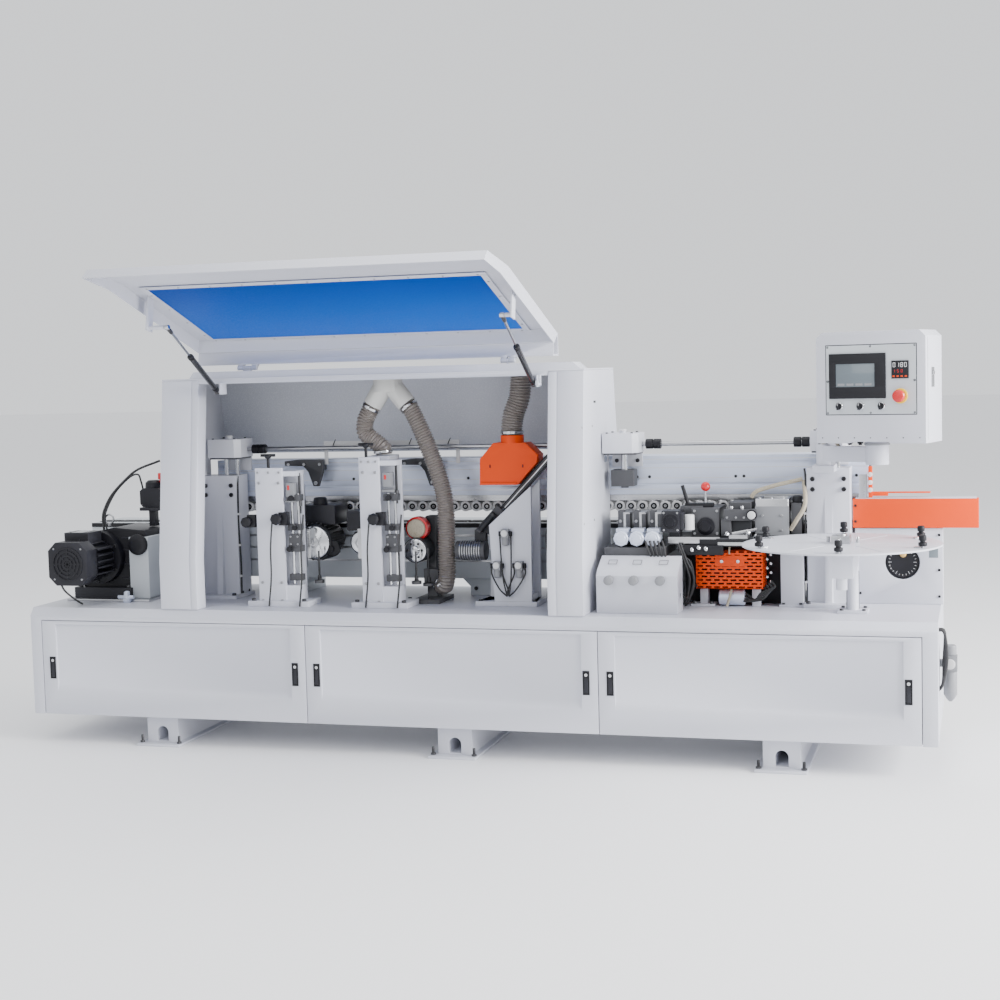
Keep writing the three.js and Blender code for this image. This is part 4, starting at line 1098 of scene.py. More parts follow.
def build_end_trim():
    refine("end_trim_stand", WHITE, 1.5)
    refine("end_trim_rail", CASTING, 1.5)
    refine("end_trim_dust_hood", ORANGE, 1.5)
    rail_low, rail_high = node_box("end_trim_rail")
    start = rail_low + mm(11, 4.4, 10)
    end = Vector((rail_high.x - 11, rail_low.y + 4.4, rail_high.z - 10))
    Piece("end_trim_guide_rod", CHROME, 0).rod(start, end, 5).done()
    strip = Piece("end_trim_rail_strip", ENAMEL, 1)
    along = (end - start).normalized()
    across = Vector((-along.z, 0, along.x))
    for side in (-1, 1):
        shift = across * 12 * side - mm(0, 1.8, 0)
        strip.rod(start + shift, end + shift, 3.4, 8)
    strip.done()
    add_carriage(along)
    add_regulators()
    # Flat dark blocks of painted shade stand for the two slots in the dust hood.
    slots = Piece("dust_hood_slot_shade", PLASTIC, 0.3)
    hood_low = node_box("end_trim_dust_hood")[0]
    for x in (44, 178):
        slots.block_at(hood_low + mm(x, 0, 74), mm(5, 1.2, 12))
    slots.done()
    fold = Piece("dust_hood_side_fold", ORANGE, 1)
    fold.block(hood_low + mm(6, -4, 2),
               hood_low + mm(152, 0.5, 10))
    fold.done()
    low, high = node_box("end_trim_stand")
    bolts = Piece("end_trim_bolts", BOLT, 0.4)
    bolts.bolts([Vector((x, low.y + 14, low.z + 18.7)) for x in (low.x + 18, high.x - 12)], UP, 8)
    bolts.done()


def add_carriage(along):
    node, body = "end_trim_carriage", NODE_BODY["end_trim_carriage"]
    low, high = node_box(node)
    refine(node, CASTING, 1.2)
    axis = low + mm(0, 38, 38)
    fins = Piece("carriage_motor_fins", STEEL, 0.8, body)
    for k in range(9):
        fins.turned(axis + mm(18 + 10 * k, 0, 0), RIGHT, [(0, 38.6), (0.5, 40.5), (4, 40.5), (4.5, 38.6)],
                    32)
    fins.done()
    blade = Piece("carriage_saw_blade", CHROME, 0.2, body)
    blade.turned(axis + mm(2, 0, 0), LEFT, [(-4, 12), (-2.6, 34), (-1.4, 34), (-1, 12), (2, 10)], 36)
    blade.done()
    bolts = Piece("carriage_bolts", STEEL, 0.3, body)
    middle = Vector((low.x + 128, low.y + 48, high.z - 64))
    bolts.bolts([middle + along * step for step in (-40, 0, 36)], TO_FRONT, 6, 5)
    bolts.done()
    cylinder = Piece("carriage_air_cylinder", CASTING, 0.8, body)
    cylinder.turned(middle - along * 52 - mm(0, 14, 0), along, [
        (0, 14), (8, 14), (8.5, 12), (86, 12), (86.5, 14), (96, 14),
    ], 28)
    cylinder.done()


def add_regulators():
    """Three air regulators with elbows and drooping tubes on the front plate."""
    low = node_box("end_trim_stand")[0]
    bodies = Piece("regulator_bodies", GREY_PLASTIC, 1)
    gauges = Piece("regulator_gauges", WHITE_PLASTIC, 0.4)
    elbows = Piece("regulator_elbows", PLASTIC, 0.8)
    tubes = Piece("regulator_tubes", RUBBER, 0)
    gather = low + mm(140, -18, 42)
    for x, rise in ((132, 281), (96, 155), (185, 156)):
        place = low + mm(x, 4, rise)
        bodies.block_at(place + mm(0, -12, 6), mm(30, 26, 34))
        bodies.turned(place + mm(0, -12, -10), DOWN, [(0, 12), (4, 14), (28, 14), (32, 9)])
        gauges.turned(place + mm(0, -25, 8), TO_FRONT, [(0, 13), (7, 13), (8, 11)])
        for side in (-1, 1):
            elbow = place + mm(side * 22, -12, 10)
            elbows.rod(place + mm(side * 14, -12, 10), elbow, 6)
            elbows.rod(elbow + mm(0, 0, 5), elbow - mm(0, 0, 14), 6)
            tubes.tube([elbow - mm(0, 0, 8), elbow - mm(0, 0, 40),
                        elbow * 0.4 + gather * 0.6 - mm(-side * 8, 4, 20), gather + mm(side * 4, 0, 0)],
                       3)
    for piece in (bodies, gauges, elbows, tubes):
        piece.done()
    bundle = Piece("hood_cable_bundle", RUBBER, 0)
    side = spot("end_trim_stand", 1, 1, 0)
    for k in range(5):
        x = 16 + 7 * k
        bundle.tube([side + mm(x, -8, 500), side + mm(x + 6, -6 * k, 380),
                     side + mm(x - 8 + 4 * k, -20, 240),
                     side + mm(x + 8, -12 * (k % 3), 120), side + mm(x - 6, -26, 30),
                     side + mm(x + 12, -30, 4)], 3.6)
    bundle.done()


# ---- Dust duct and hoses: the routes of the CAD hoses ----

HOSE_RADIUS = 36
END_HOSE_RADIUS = 44
HOSE_ROUTES = {
    "hose_short": (HOSE_RADIUS, [
        (-389.5, 0, 1350.5), (-405, 0, 1326), (-424, 0, 1285), (-422, 0, 1240), (-385, 0, 1208),
        (-352, 0, 1180),
        (-350, 0, 1156),
    ]),
    "hose_long": (HOSE_RADIUS, [
        (-241.5, 0, 1350), (-226, 0, 1330), (-188, 0, 1250), (-150, 0, 1156), (-117, 0, 1060),
        (-98, 0, 975),
        (-93, 0, 883), (-96, 0, 779), (-96, 0, 700), (-100, 0, 655), (-114, 10, 624), (-130, 24, 638),
    ]),
    "hose_end_trim": (END_HOSE_RADIUS, [
        (213, 55, 1468), (213, 55, 1430), (204, 55, 1365), (181, 55, 1305), (172, 55, 1255),
        (172, 55, 1224),
    ]),
}


def build_hoses():
    refine("extraction_duct", DUCT, 3)
    duct_y = spot("extraction_duct").y
    for name, (radius, route) in HOSE_ROUTES.items():
        path = [mm(x, y, z) + Vector((0, duct_y, 0)) for x, y, z in route]
        tube = Piece(f"{name}_ribbed", HOSE, 0)
        tube.tube(path, radius, 26, 5, 11)
        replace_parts(tube.done(), name)
        clamps = Piece(f"{name}_clamps", CHROME, 0.4)
        for foot, toward in ((path[0], path[1]), (path[-1], path[-2])):
            along = (toward - foot).normalized()
            clamps.ring(foot + along * 5, along, radius + 3, 2.6, 9, 36)
            clamps.block_at(foot + along * 9 + TO_FRONT * (radius + 5), mm(14, 8, 10))
        clamps.done()
    collar = Piece("duct_flange", WHITE_PLASTIC, 1)
    top = spot("extraction_duct", 0.475, 0.5, 1)
    collar.ring(top - mm(0, 0, 8), UP, 72, 14, 7)
    collar.done()


# ---- Air pressure box ----

def build_pressure_box():
    refine("pressure_box", WHITE, 2)
    low, high = node_box("pressure_box")
    marks = Piece("pressure_box_marks", CASTING, 0)
    for index in (1, 2, 3):
        knob = f"pressure_knob_{index}"
        knob_low, knob_high = node_box(knob)
        centre = (knob_low + knob_high) / 2
        grip = Piece(f"{knob}_grip", GREY_PLASTIC, 0.5, NODE_BODY[knob])
        front = Vector((centre.x, knob_high.y, centre.z))
        grip.turned(front, TO_FRONT, [
            (0, 13), (9, 13), (10, 17), (13, 18), (30, 18), (32, 16.5),
            (40, 16.5), (41.6, 14),
        ], 32)
        for k in range(16):
            turn = Matrix.Rotation(2 * math.pi * k / 16, 4, "Y")
            grip.block_at(front + mm(0, -21, 0) + turn.to_3x3() @ mm(17.6, 0, 0), mm(1.6, 16, 2.2), turn)
        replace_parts(grip.done(), knob)
        corner = Vector((centre.x - 16, low.y + 58, high.z - 19))
        slope = Matrix.Rotation(math.radians(26), 4, "X")
        for x, y, w, d in ((16, 14, 34, 2), (16, -14, 34, 2), (0, 0, 2, 30), (32, 0, 2, 30)):
            place = corner + mm(x, 0, 0) + slope.to_3x3() @ mm(0, y, 0.4)
            marks.block_at(place, mm(w, d, 1.4), slope)
    marks.done()


# ---- Press unit ----

def build_press_unit():
    refine("press_unit", STEEL, 1.5)
    low, high = node_box("press_unit")
    plate = Piece("press_unit_plate", CASTING, 1.5)
    plate.block(low + mm(-1, -1, 201), (high.x + 1, high.y - 30, low.z + 235))
    plate.block(low + mm(40, 24, 150), low + mm(150, 60, 190))
    plate.done()
    caps = Piece("press_cylinder_caps", ALUMINIUM, 0.8)
    bodies = Piece("press_cylinder_bodies", ALUMINIUM, 0.8)
    towers = Piece("press_tower_blocks", CASTING, 1.5)
    screws = Piece("press_tower_screws", STEEL, 0.3)
    shafts = Piece("press_tower_shafts", CHROME, 0)
    for k in range(3):
        centre = low + mm(63 + 60 * k, 15, 268)
        caps.turned(centre, TO_FRONT, [(-10, 30), (0, 30), (8, 30), (11, 26), (10, 22),
            (10, 19), (12, 18),
        ], 8)
        bodies.turned(centre + mm(0, 10, 0), TO_BACK, [(0, 27.5), (60, 27.5)], 32)
        bodies.block(centre + mm(-24, 16, 22), centre + mm(24, 60, 36))
        tower = low + mm(33 + 62 * k, 105, 232)
        towers.block(tower - mm(1, 3, 0), tower + mm(20, 40, 134))
        towers.block(tower + mm(30, -3, 0), tower + mm(46, 40, 122))
        shafts.rod(tower + mm(25, 6, 10), tower + mm(25, 6, 118), 6.5, 20)
        screws.bolts([tower + mm(9, -3, z) for z in (30, 62, 94)], TO_FRONT, 6, 5)
    screws.bolts([low + mm(x, 24, 170) for x in (62, 118)], TO_FRONT, 6, 5)
    for piece in (caps, bodies, towers, screws, shafts):
        piece.done()
    fittings = Piece("press_air_fittings", CHROME, 0.4)
    for x in (14, 36, 160, 184, 206):
        fittings.turned(low + mm(x, 20, 178), TO_FRONT, [
            (-20, 12), (0, 12), (2, 9), (12, 9), (13, 5),
        ], 6)
    fittings.done()
    tubes = Piece("press_air_tubes", RUBBER, 0)
    for k in range(5):
        start = low + mm(160 + 16 * k, -6, 262)
        tubes.tube([start, start + mm(10, -10, -30), start + mm(24 - 3 * k, 4, -80),
                    start + mm(6, 20, -120),
                    start + mm(-12, 30, -140)], 4)
    tubes.done()


# ---- Tape table, glue unit and its cover ----

def build_tape_table():
    refine("tape_table", CASTING, 1.5)
    low, high = node_box("tape_table")
    table = low.z + 268
    motor = Piece("step_motor", ENAMEL, 1.5)
    corner = Vector((low.x, low.y - 2, table + 24))
    motor.block(corner + mm(-1, -1, -1), corner + mm(67, 82, 81))
    motor.turned(corner + mm(33, -1, 40), TO_FRONT, [(0, 30), (5, 30), (6, 20), (12, 18)], 32)
    motor.block(corner + mm(66, 6, 8), corner + mm(80, 60, 72))
    motor.done()
    screws = Piece("step_motor_screws", STEEL, 0.2)
    screws.bolts([corner + mm(x, -1, z) for x in (7, 59) for z in (8, 73)], TO_FRONT, 4, 3)
    screws.done()
    roll = Piece("feed_roll", WHITE_PLASTIC, 0.6)
    roll.turned(corner + mm(98, 40, 4), UP, [(0, 12), (2, 19), (58, 19), (60, 12)], 32)
    roll.done()
    add_cutter(Vector((low.x + 102, low.y + 70, table)))
    add_lever_and_clamp(Vector((low.x + 102, low.y + 70, table)))
    column = Piece("tape_table_column_cover", WHITE, 2)
    column.block((high.x - 94, low.y + 94, low.z), (high.x - 10, low.y + 182, table - 29))
    column.block((high.x - 100, low.y + 88, low.z), (high.x - 2, low.y + 190, low.z + 8))
    column.done()
    column_bolts = Piece("tape_table_column_bolts", BOLT, 0.4)
    column_bolts.bolts([Vector((x, low.y + 92, low.z + 10)) for x in (high.x - 84, high.x - 20)], UP, 6)
    column_bolts.done()
    guides = Piece("tape_guides", STEEL, 0.8)
    edge = Vector((low.x + 20, low.y + 12, table))
    guides.block(edge + mm(0, 0, -20), edge + mm(196, 10, 4))
    guides.block(edge + mm(190, -10, -26), edge + mm(480, 2, -14))
    guides.block(edge + mm(230, 4, -4), edge + mm(300, 60, 12))
    guides.rod(edge + mm(240, 20, 14), edge + mm(330, 40, 30), 7)
    guides.done()
    dark = Piece("tape_rail", PLASTIC, 1)
    dark.block(edge + mm(120, -6, -32), edge + mm(470, 8, -4))
    dark.block(edge + mm(336, -12, -10), edge + mm(366, 12, 18))
    dark.block(edge + mm(60, -16, -62), edge + mm(210, 14, -26))
    dark.done()
    valves = Piece("tape_unit_fittings", CHROME, 0.3)
    for x, y, z in ((90, -18, -44), (116, -20, -36), (142, -18, -40), (222, -10, 16), (300, 2, 20),
                    (330, 0, 6), (400, -8, -8)):
        valves.turned(edge + mm(x, y, z), Vector((0.5, -0.8, 0.3)), [(-6, 7), (0, 8), (12, 8), (14, 4)], 10)
    valves.done()
    cables = Piece("tape_unit_cables", RUBBER, 0)
    for k in range(2):
        start = edge + mm(40 + 9 * k, -10, -20)
        cables.tube([start, start + mm(24, -16, -60), start + mm(44 + 8 * k, -14, -130),
                     start + mm(30, -4, -210),
                     start + mm(6 + 6 * k, 8, -236)], 4.5)
    loop = edge + mm(70, -26, -150)
    cables.tube([loop + mm(30 * math.cos(a), 2 * a, 76 * math.sin(a)) for a in steps(0, 6.0, 15)], 4)
    cables.done()


def add_cutter(corner):
    body = Piece("end_cutter_block", CASTING, 2)
    body.block(corner + mm(-1, -1, -1), corner + mm(105, 170, 110))
    body.block(corner + mm(-46, 10, 80), corner + mm(40, 60, 116))
    body.block(corner + mm(112, -8, 2), corner + mm(150, 40, 66))
    body.block(corner + mm(126, -14, 62), corner + mm(240, 30, 104))
    body.done()
    disc = Piece("end_cutter_disc", ENAMEL, 0.8)
    disc.turned(corner + mm(54, -1, 40), TO_FRONT, [(0, 34), (8, 34), (10, 22), (18, 20)], 32)
    disc.turned(corner + mm(230, -14, 84), TO_FRONT, [(0, 20), (10, 20), (11, 12)], 24)
    disc.done()
    light = Piece("end_cutter_white_knob", WHITE_PLASTIC, 0.6)
    light.turned(corner + mm(230, -24, 84), TO_FRONT, [(0, 15), (8, 15), (10, 11)], 28)
    light.done()
    screws = Piece("end_cutter_screws", STEEL, 0.2)
    screws.bolts([corner + mm(x, -1, z) for x, z in ((10, 12), (96, 12), (10, 98), (96, 98), (70, 50))],
                 TO_FRONT, 5, 3)
    screws.bolts([corner + mm(x, -14, 74) for x in (136, 170, 200)], TO_FRONT, 4, 3)
    screws.bolts([corner + mm(x, 8, 104) for x in (150, 190)], UP, 7, 12)
    screws.done()


def add_lever_and_clamp(corner):
    lever = Piece("feed_lever", PLASTIC, 1.5)
    foot = corner + mm(-18, 34, 116)
    lever.rod(foot, foot + mm(-22, -4, 78), 7, 16)
    lever.block(foot + mm(-12, -14, -6), foot + mm(96, 22, 10))
    lever.done()
    Piece("feed_knob_stem", CHROME, 0).rod(corner + mm(48, 40, 110), corner + mm(48, 40, 176), 4).done()
    ball = Piece("feed_knob_ball", RED, 0)
    ball.turned(corner + mm(48, 40, 170), UP, [
        ((18 - 18 * math.cos(a)), max(18 * math.sin(a), 0.4)) for a in steps(0, math.pi, 15)
    ], 28)
    ball.done()


COVER_ROWS = 11
COVER_COLUMNS = 8


def build_glue_unit():
    refine("glue_pot", STEEL, 2)
    low, high = node_box("glue_pot")
    front = Piece("glue_pot_front", GREY_PLASTIC, 1.5)
    front.block(low + mm(-2, -3, 2), (high.x + 2, low.y + 1, high.z - 28))
    front.block(low + mm(-2, -1, 2), (low.x + 1, low.y + 70, high.z - 28))
    front.done()
    screws = Piece("glue_pot_screws", STEEL, 0.3)
    screws.bolts([Vector((x, low.y - 3, low.z + rise)) for x in (low.x + 26, high.x - 26) for rise in (22,
            78)],
                 TO_FRONT, 5, 3.5)
    screws.bolts([Vector((low.x + x, low.y + 8, high.z)) for x in (16, 60, 104)], UP, 5, 5)
    screws.done()
    post = Piece("glue_roller_post", CASTING, 2)
    post.block((high.x + 6, low.y + 40, low.z - 1), high + mm(44, -8, -20))
    post.turned(Vector((high.x + 24, low.y + 90, high.z - 20)), UP, [(0, 18), (24, 18), (26, 12)])
    post.done()
    sleeve = Piece("glue_heater_sleeve", SLEEVE, 0)
    start = Vector((low.x - 20, low.y + 40, high.z + 4))
    sleeve.tube([start, start + mm(20, -2, 22), start + mm(90, 4, 44), start + mm(190, 20, 66)], 8, 14)
    sleeve.tube([Vector((high.x + 6, low.y + 10, low.z + 24)), Vector((high.x + 30, low.y - 6, low.z + 60)),
                 Vector((high.x + 62, low.y, low.z + 120)), start + mm(196, 22, 60)], 8, 14)
    sleeve.done()
    cover_low, cover_high = node_box("glue_cover")
    add_glue_cover(cover_low, cover_high)
    stop = Piece("glue_drain_sleeve", SLEEVE, 0)
    foot = Vector((cover_low.x + 128, cover_low.y - 4, cover_high.z + 26))
    stop.rod(foot, foot - mm(0, 0, 40), 4, 14)
    stop.tube([foot - mm(-4, -20, 175), foot - mm(2, -6, 205), foot - mm(12, -2, 240)], 5, 14)
    stop.done()


def add_glue_cover(low, high):
    """A sheet guard with rows of slots, made of the webs between them."""
    bottom = low.z + 71
    panel = Piece("glue_cover_panel", ORANGE, 0.5)
    sheet = 3
    row = (high.z - bottom) / COVER_ROWS
    column = (high.x - low.x) / COVER_COLUMNS
    depth = (high.y - low.y) / 5
    for k in range(COVER_ROWS + 1):
        z = bottom + row * k
        z0, z1 = max(z - row * 0.27, bottom), min(z + row * 0.27, high.z)
        panel.block((low.x, low.y, z0), (high.x, low.y + sheet, z1))
        for x in (low.x, high.x - sheet):
            panel.block((x, low.y + sheet, z0), (x + sheet, high.y, z1))
    for k in range(COVER_ROWS):
        for place in range(COVER_COLUMNS + 1):
            x = low.x + column * (place + 0.5 * (k % 2))
            z = bottom + row * k
            if x < high.x + column / 4:
                panel.block((max(x - 5, low.x), low.y + 0.2, z),
                            (min(x + 5, high.x), low.y + sheet - 0.2, z + row))
    for k in range(6):
        y = low.y + depth * k
        for x in (low.x + 0.2, high.x - sheet + 0.2):
            panel.block((x, max(y - 4, low.y + sheet), bottom),
                        (x + sheet - 0.4, min(y + 4, high.y), high.z))
    panel.block((low.x, low.y, high.z - sheet), high)
    panel.block((low.x, low.y, bottom), (high.x, high.y, bottom + sheet))
    panel.block((low.x + 72, low.y - 0.3, high.z - 62), (low.x + 184, low.y + 2, high.z - 20))
    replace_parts(panel.done(), "glue_cover")
    screws = Piece("glue_cover_screws", CHROME, 0.3)
    screws.bolts([Vector((low.x + x, low.y - 0.3, high.z - 42)) for x in (98, 160)], TO_FRONT, 6.5, 4)
    screws.done()
    legs = Piece("glue_cover_legs", WHITE, 1.5)
    for x in (low.x + 8, low.x + 206):
        legs.block((x, low.y + 40, low.z), (x + 30, low.y + 85, bottom + 1))
    legs.block(low + mm(-26, 26, -0.1), low + mm(66, 96, 9))
    legs.done()
    bolts = Piece("glue_cover_bolts", BOLT, 0.4)
    bolts.bolts([low + mm(x, 33, 9) for x in (-12, 52)], UP, 8, 10)
    bolts.bolts([Vector((low.x - 0.5, low.y + 6, z)) for z in (bottom + 10, high.z - 12)], TO_FRONT, 6, 8)
    bolts.done()
    motor = Piece("glue_motor", CASTING, 1.5)
    motor.turned(Vector((low.x + 40, low.y + 60, bottom + 74)), RIGHT, [
        (0, 30), (6, 46), (120, 46), (124, 36), (170, 36),
    ], 32)
    motor.done()
    lower = Piece("glue_gear_motor", ALUMINIUM, 1.5)
    lower.turned(low + mm(80, 44, 34), RIGHT, [
        (0, 22), (4, 30), (96, 30), (100, 22),
    ], 28)
    lower.done()
    side = Piece("glue_side_fittings", CHROME, 0.3)
    for k in range(8):
        foot = Vector((high.x + (14 + 14 * (k % 2)), low.y + 30, bottom + (10 + 17 * k)))
        side.turned(foot, TO_FRONT, [(-10, 5), (0, 6), (9, 6), (11, 3)], 6)
    side.done()
    loops = Piece("glue_cables", RUBBER, 0)
    for k in range(4):
        start = Vector((high.x + (2 + 9 * k), low.y + 20, bottom + (6 + 8 * k)))
        loops.tube([start, start + mm(14, -14, -22), start + mm(-6 - 10 * k, -20, -44),
                    start + mm(-60, -8, -54 - 6 * k),
                    start + mm(-96, 10, -50)], 4)
    loops.done()


# ---- Infeed end ----

def build_infeed():
    refine("infeed_housing", WHITE, 2)
    refine("infeed_fence", ORANGE, 2)
    low, high = node_box("infeed_housing")
    dial = low + mm(174, 0, 158)
    face = Piece("thickness_dial_face", PLASTIC, 0.6)
    face.turned(dial + mm(0, 12, 0), TO_FRONT, [(0, 62), (3, 61), (3.5, 50), (1, 48)], 48)
    face.done()
    knob = Piece("thickness_dial_knob", BRASS, 0.6)
    knob.turned(dial + mm(2, 10, 30), TO_FRONT, [(0, 12), (4, 12), (5, 8), (14, 8), (15, 5)], 24)
    knob.done()
    ticks = Piece("thickness_dial_ticks", WHITE_PLASTIC, 0)
    for k in range(24):
        turn = Matrix.Rotation(2 * math.pi * k / 24, 4, "Y")
        length = 12 if k % 4 == 0 else 6
        ticks.block_at(dial + mm(0, 8, 0) + turn.to_3x3() @ mm(52 - length / 2, 0, 0), mm(length, 1, 1.4),
                       turn)
    ticks.done()
    window = Piece("housing_window", SCREEN, 0.4)
    window.block((high.x - 51, low.y - 0.8, low.z + 176), (high.x - 18, low.y + 1, low.z + 240))
    window.done()
    bolts = Piece("infeed_bolts", BOLT, 0.3)
    bolts.bolts([Vector((high.x - 14, low.y, low.z + z)) for z in (30, 130, 262)], TO_FRONT, 5)
    bolts.bolts([low + mm(18, 0, z) for z in (40, 220, 262)], TO_FRONT, 5)
    fence_low, fence_high = node_box("infeed_fence")
    bolts.bolts([fence_low + mm(10, 0, z) for z in (24, 84)], TO_FRONT, 5)
    bolts.done()
    top = Piece("fence_top_plate", WHITE, 1)
    top.block((fence_low.x + 10, fence_low.y + 4, fence_high.z), fence_high + mm(-8, 0, 4))
    top.done()
    flag = Piece("fence_guide_plate", ORANGE, 0.8)
    flag.block((fence_low.x + 90, fence_low.y + 20, fence_high.z + 20),
               (fence_low.x + 284, fence_high.y, fence_high.z + 24))
    flag.block((fence_low.x + 58, fence_low.y + 10, fence_high.z + 2),
               (fence_low.x + 72, fence_low.y + 34, fence_high.z + 122))
    flag.block((fence_low.x + 58, fence_low.y + 16, fence_high.z + 10),
               (fence_low.x + 130, fence_low.y + 30, fence_high.z + 26))
    flag.done()
    rollers = Piece("fence_switch_rollers", WHITE_PLASTIC, 0.5)
    for rise in (34, 62, 92):
        rollers.turned(Vector((fence_low.x + 65, fence_low.y + 8, fence_high.z + rise)), TO_FRONT, [
            (0, 7), (1, 9), (9, 9), (10, 7),
        ], 20)
    rollers.done()
    switch = Piece("fence_switch", STEEL, 0.8)
    switch.block((fence_low.x + 24, fence_low.y + 4, fence_high.z + 2),
                 (fence_low.x + 52, fence_low.y + 40, fence_high.z + 92))
    switch.done()


# ---- Tape coil carrier ----

COIL_SLOTS = 12
COIL_GUIDES = 6


def build_coil():
    refine("coil_stand", WHITE, 2)
    low, high = node_box("coil_disc")
    centre = Vector(((low.x + high.x) / 2, (low.y + high.y) / 2, low.z))
    radius = (high.x - low.x) / 2
    disc = Piece("coil_disc_plate", WHITE, body="coil_disc")
    add_slotted_disc(disc.mesh, radius, 6)
    disc.mesh.transform(Matrix.Translation(centre))
    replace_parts(disc.done(), "coil_disc")
    hub = Piece("coil_hub", STEEL, 2, "coil_disc")
    hub.block(centre + mm(-33, -33, 5.5), centre + mm(33, 33, 34))
    hub.turned(centre + mm(0, 0, 34), UP, [(0, 20), (4, 20), (6, 14), (6, 5)], 28)
    hub.done()
    guides = Piece("coil_guides", STEEL, 0.8, "coil_disc")
    knobs = Piece("coil_guide_knobs", PLASTIC, 1, "coil_disc")
    for k in range(COIL_GUIDES):
        spin = Matrix.Rotation(math.radians(33 + 360 * k / COIL_GUIDES), 4, "Z")
        turn = Matrix.Translation(centre) @ spin
        guides.block_at(turn @ mm(302, 0, 8), mm(26, 20, 4), spin)
        guides.rod(turn @ mm(318, 0, 5), turn @ mm(318, 0, 34), 4, 14)
        knobs.turned(turn @ mm(318, 0, 12), UP, [
            (0, 11), (2, 15), (13, 15), (15, 9), (19, 9),
            (20, 13), (36, 13), (39, 9),
        ], 14)
    for spin in (0.4, 2.5, 4.6):
        turn = Matrix.Translation(centre) @ Matrix.Rotation(spin, 4, "Z")
        guides.rod(turn @ mm(60, 0, 5), turn @ mm(60, 0, 26), 7, 16)
    guides.done()
    knobs.done()
    post_top = spot("coil_stand", 0.48, 0.85, 0.74)
    chrome = Piece("coil_post_sleeve", POST_STEEL, 0.5)
    chrome.ring(Vector((post_top.x, post_top.y, node_box("coil_stand")[0].z + 12)), UP, 23.8, 1.6, 140)
    chrome.done()
    bolts = Piece("coil_stand_bolts", BOLT, 0.4)
    stand_low, stand_high = node_box("coil_stand")
    bolts.bolts(grid((stand_low.x + 14, stand_high.x - 14), (stand_high.y - 90, stand_high.y - 14),
                     (stand_low.z + 10,)),
                UP, 7)
    bolts.done()


def add_slotted_disc(mesh, radius, thickness):
    """A disc with radial slots: rings of faces, with the slots' faces left out."""
    radii = [28, 90, 100, 300, 310, radius]
    half_slot = 6
    per_slot = 10
    count = COIL_SLOTS * per_slot
    layers = []
    for z in (0, thickness):
        rings = []
        for r in radii:
            ring = []
            for k in range(count):
                step = k % per_slot
                base = 2 * math.pi * (k - step) / count
                pitch = 2 * math.pi / COIL_SLOTS
                edge = half_slot / max(r, 60)
                share = edge + (pitch - edge) * (step - 1) / (per_slot - 1) if step else 0
                angle = base + share
                ring.append(mesh.verts.new((r * math.cos(angle), r * math.sin(angle), z)))
            rings.append(ring)
        layers.append(rings)
    lower, upper = layers

    def is_open(band, k):
        return band == 2 and k % per_slot == 0 and (k // per_slot) % 2 == 0

    for band in range(len(radii) - 1):
        for k in range(count):
            n = (k + 1) % count
            if is_open(band, k):
                mesh.faces.new((lower[band][k], lower[band][n], upper[band][n], upper[band][k]))
                mesh.faces.new((lower[band + 1][n], lower[band + 1][k], upper[band + 1][k],
                                upper[band + 1][n]))
                mesh.faces.new((lower[band][k], upper[band][k], upper[band + 1][k], lower[band + 1][k]))
                mesh.faces.new((upper[band][n], lower[band][n], lower[band + 1][n], upper[band + 1][n]))
                continue
            mesh.faces.new((upper[band][k], upper[band + 1][k], upper[band + 1][n], upper[band][n]))
            mesh.faces.new((lower[band][n], lower[band + 1][n], lower[band + 1][k], lower[band][k]))
    for k in range(count):
        n = (k + 1) % count
        mesh.faces.new((lower[-1][k], lower[-1][n], upper[-1][n], upper[-1][k]))
        mesh.faces.new((lower[0][n], lower[0][k], upper[0][k], upper[0][n]))


# ---- Control box on its arm ----

BOX_PLACE = (
    Matrix.Translation(JOINT["control_box_swivel"]["pos_m"])
    @ Matrix.Rotation(math.atan2(-JOINT["emergency_stop_push"]["axis"][0],
                                 JOINT["emergency_stop_push"]["axis"][1]), 4, "Z")
)
PANEL_LEFT, PANEL_RIGHT = -139, 178
PANEL_BOTTOM, PANEL_TOP = 102, 330
PANEL_FRONT = -95


def on_panel(across, up, out=0.0):
    """A point on the operator panel, by fractions of its width and height."""
    return Vector((PANEL_LEFT + across * (PANEL_RIGHT - PANEL_LEFT), PANEL_FRONT - out,
                   PANEL_BOTTOM + up * (PANEL_TOP - PANEL_BOTTOM)))


def panel_piece(name, material, bevel=0.5, body="control_box"):
    return Piece(name, material, bevel, body, BOX_PLACE)


def panel_plate(piece, left, right, bottom, top, start, end):
    return piece.block(on_panel(left, bottom, end), on_panel(right, top, start))


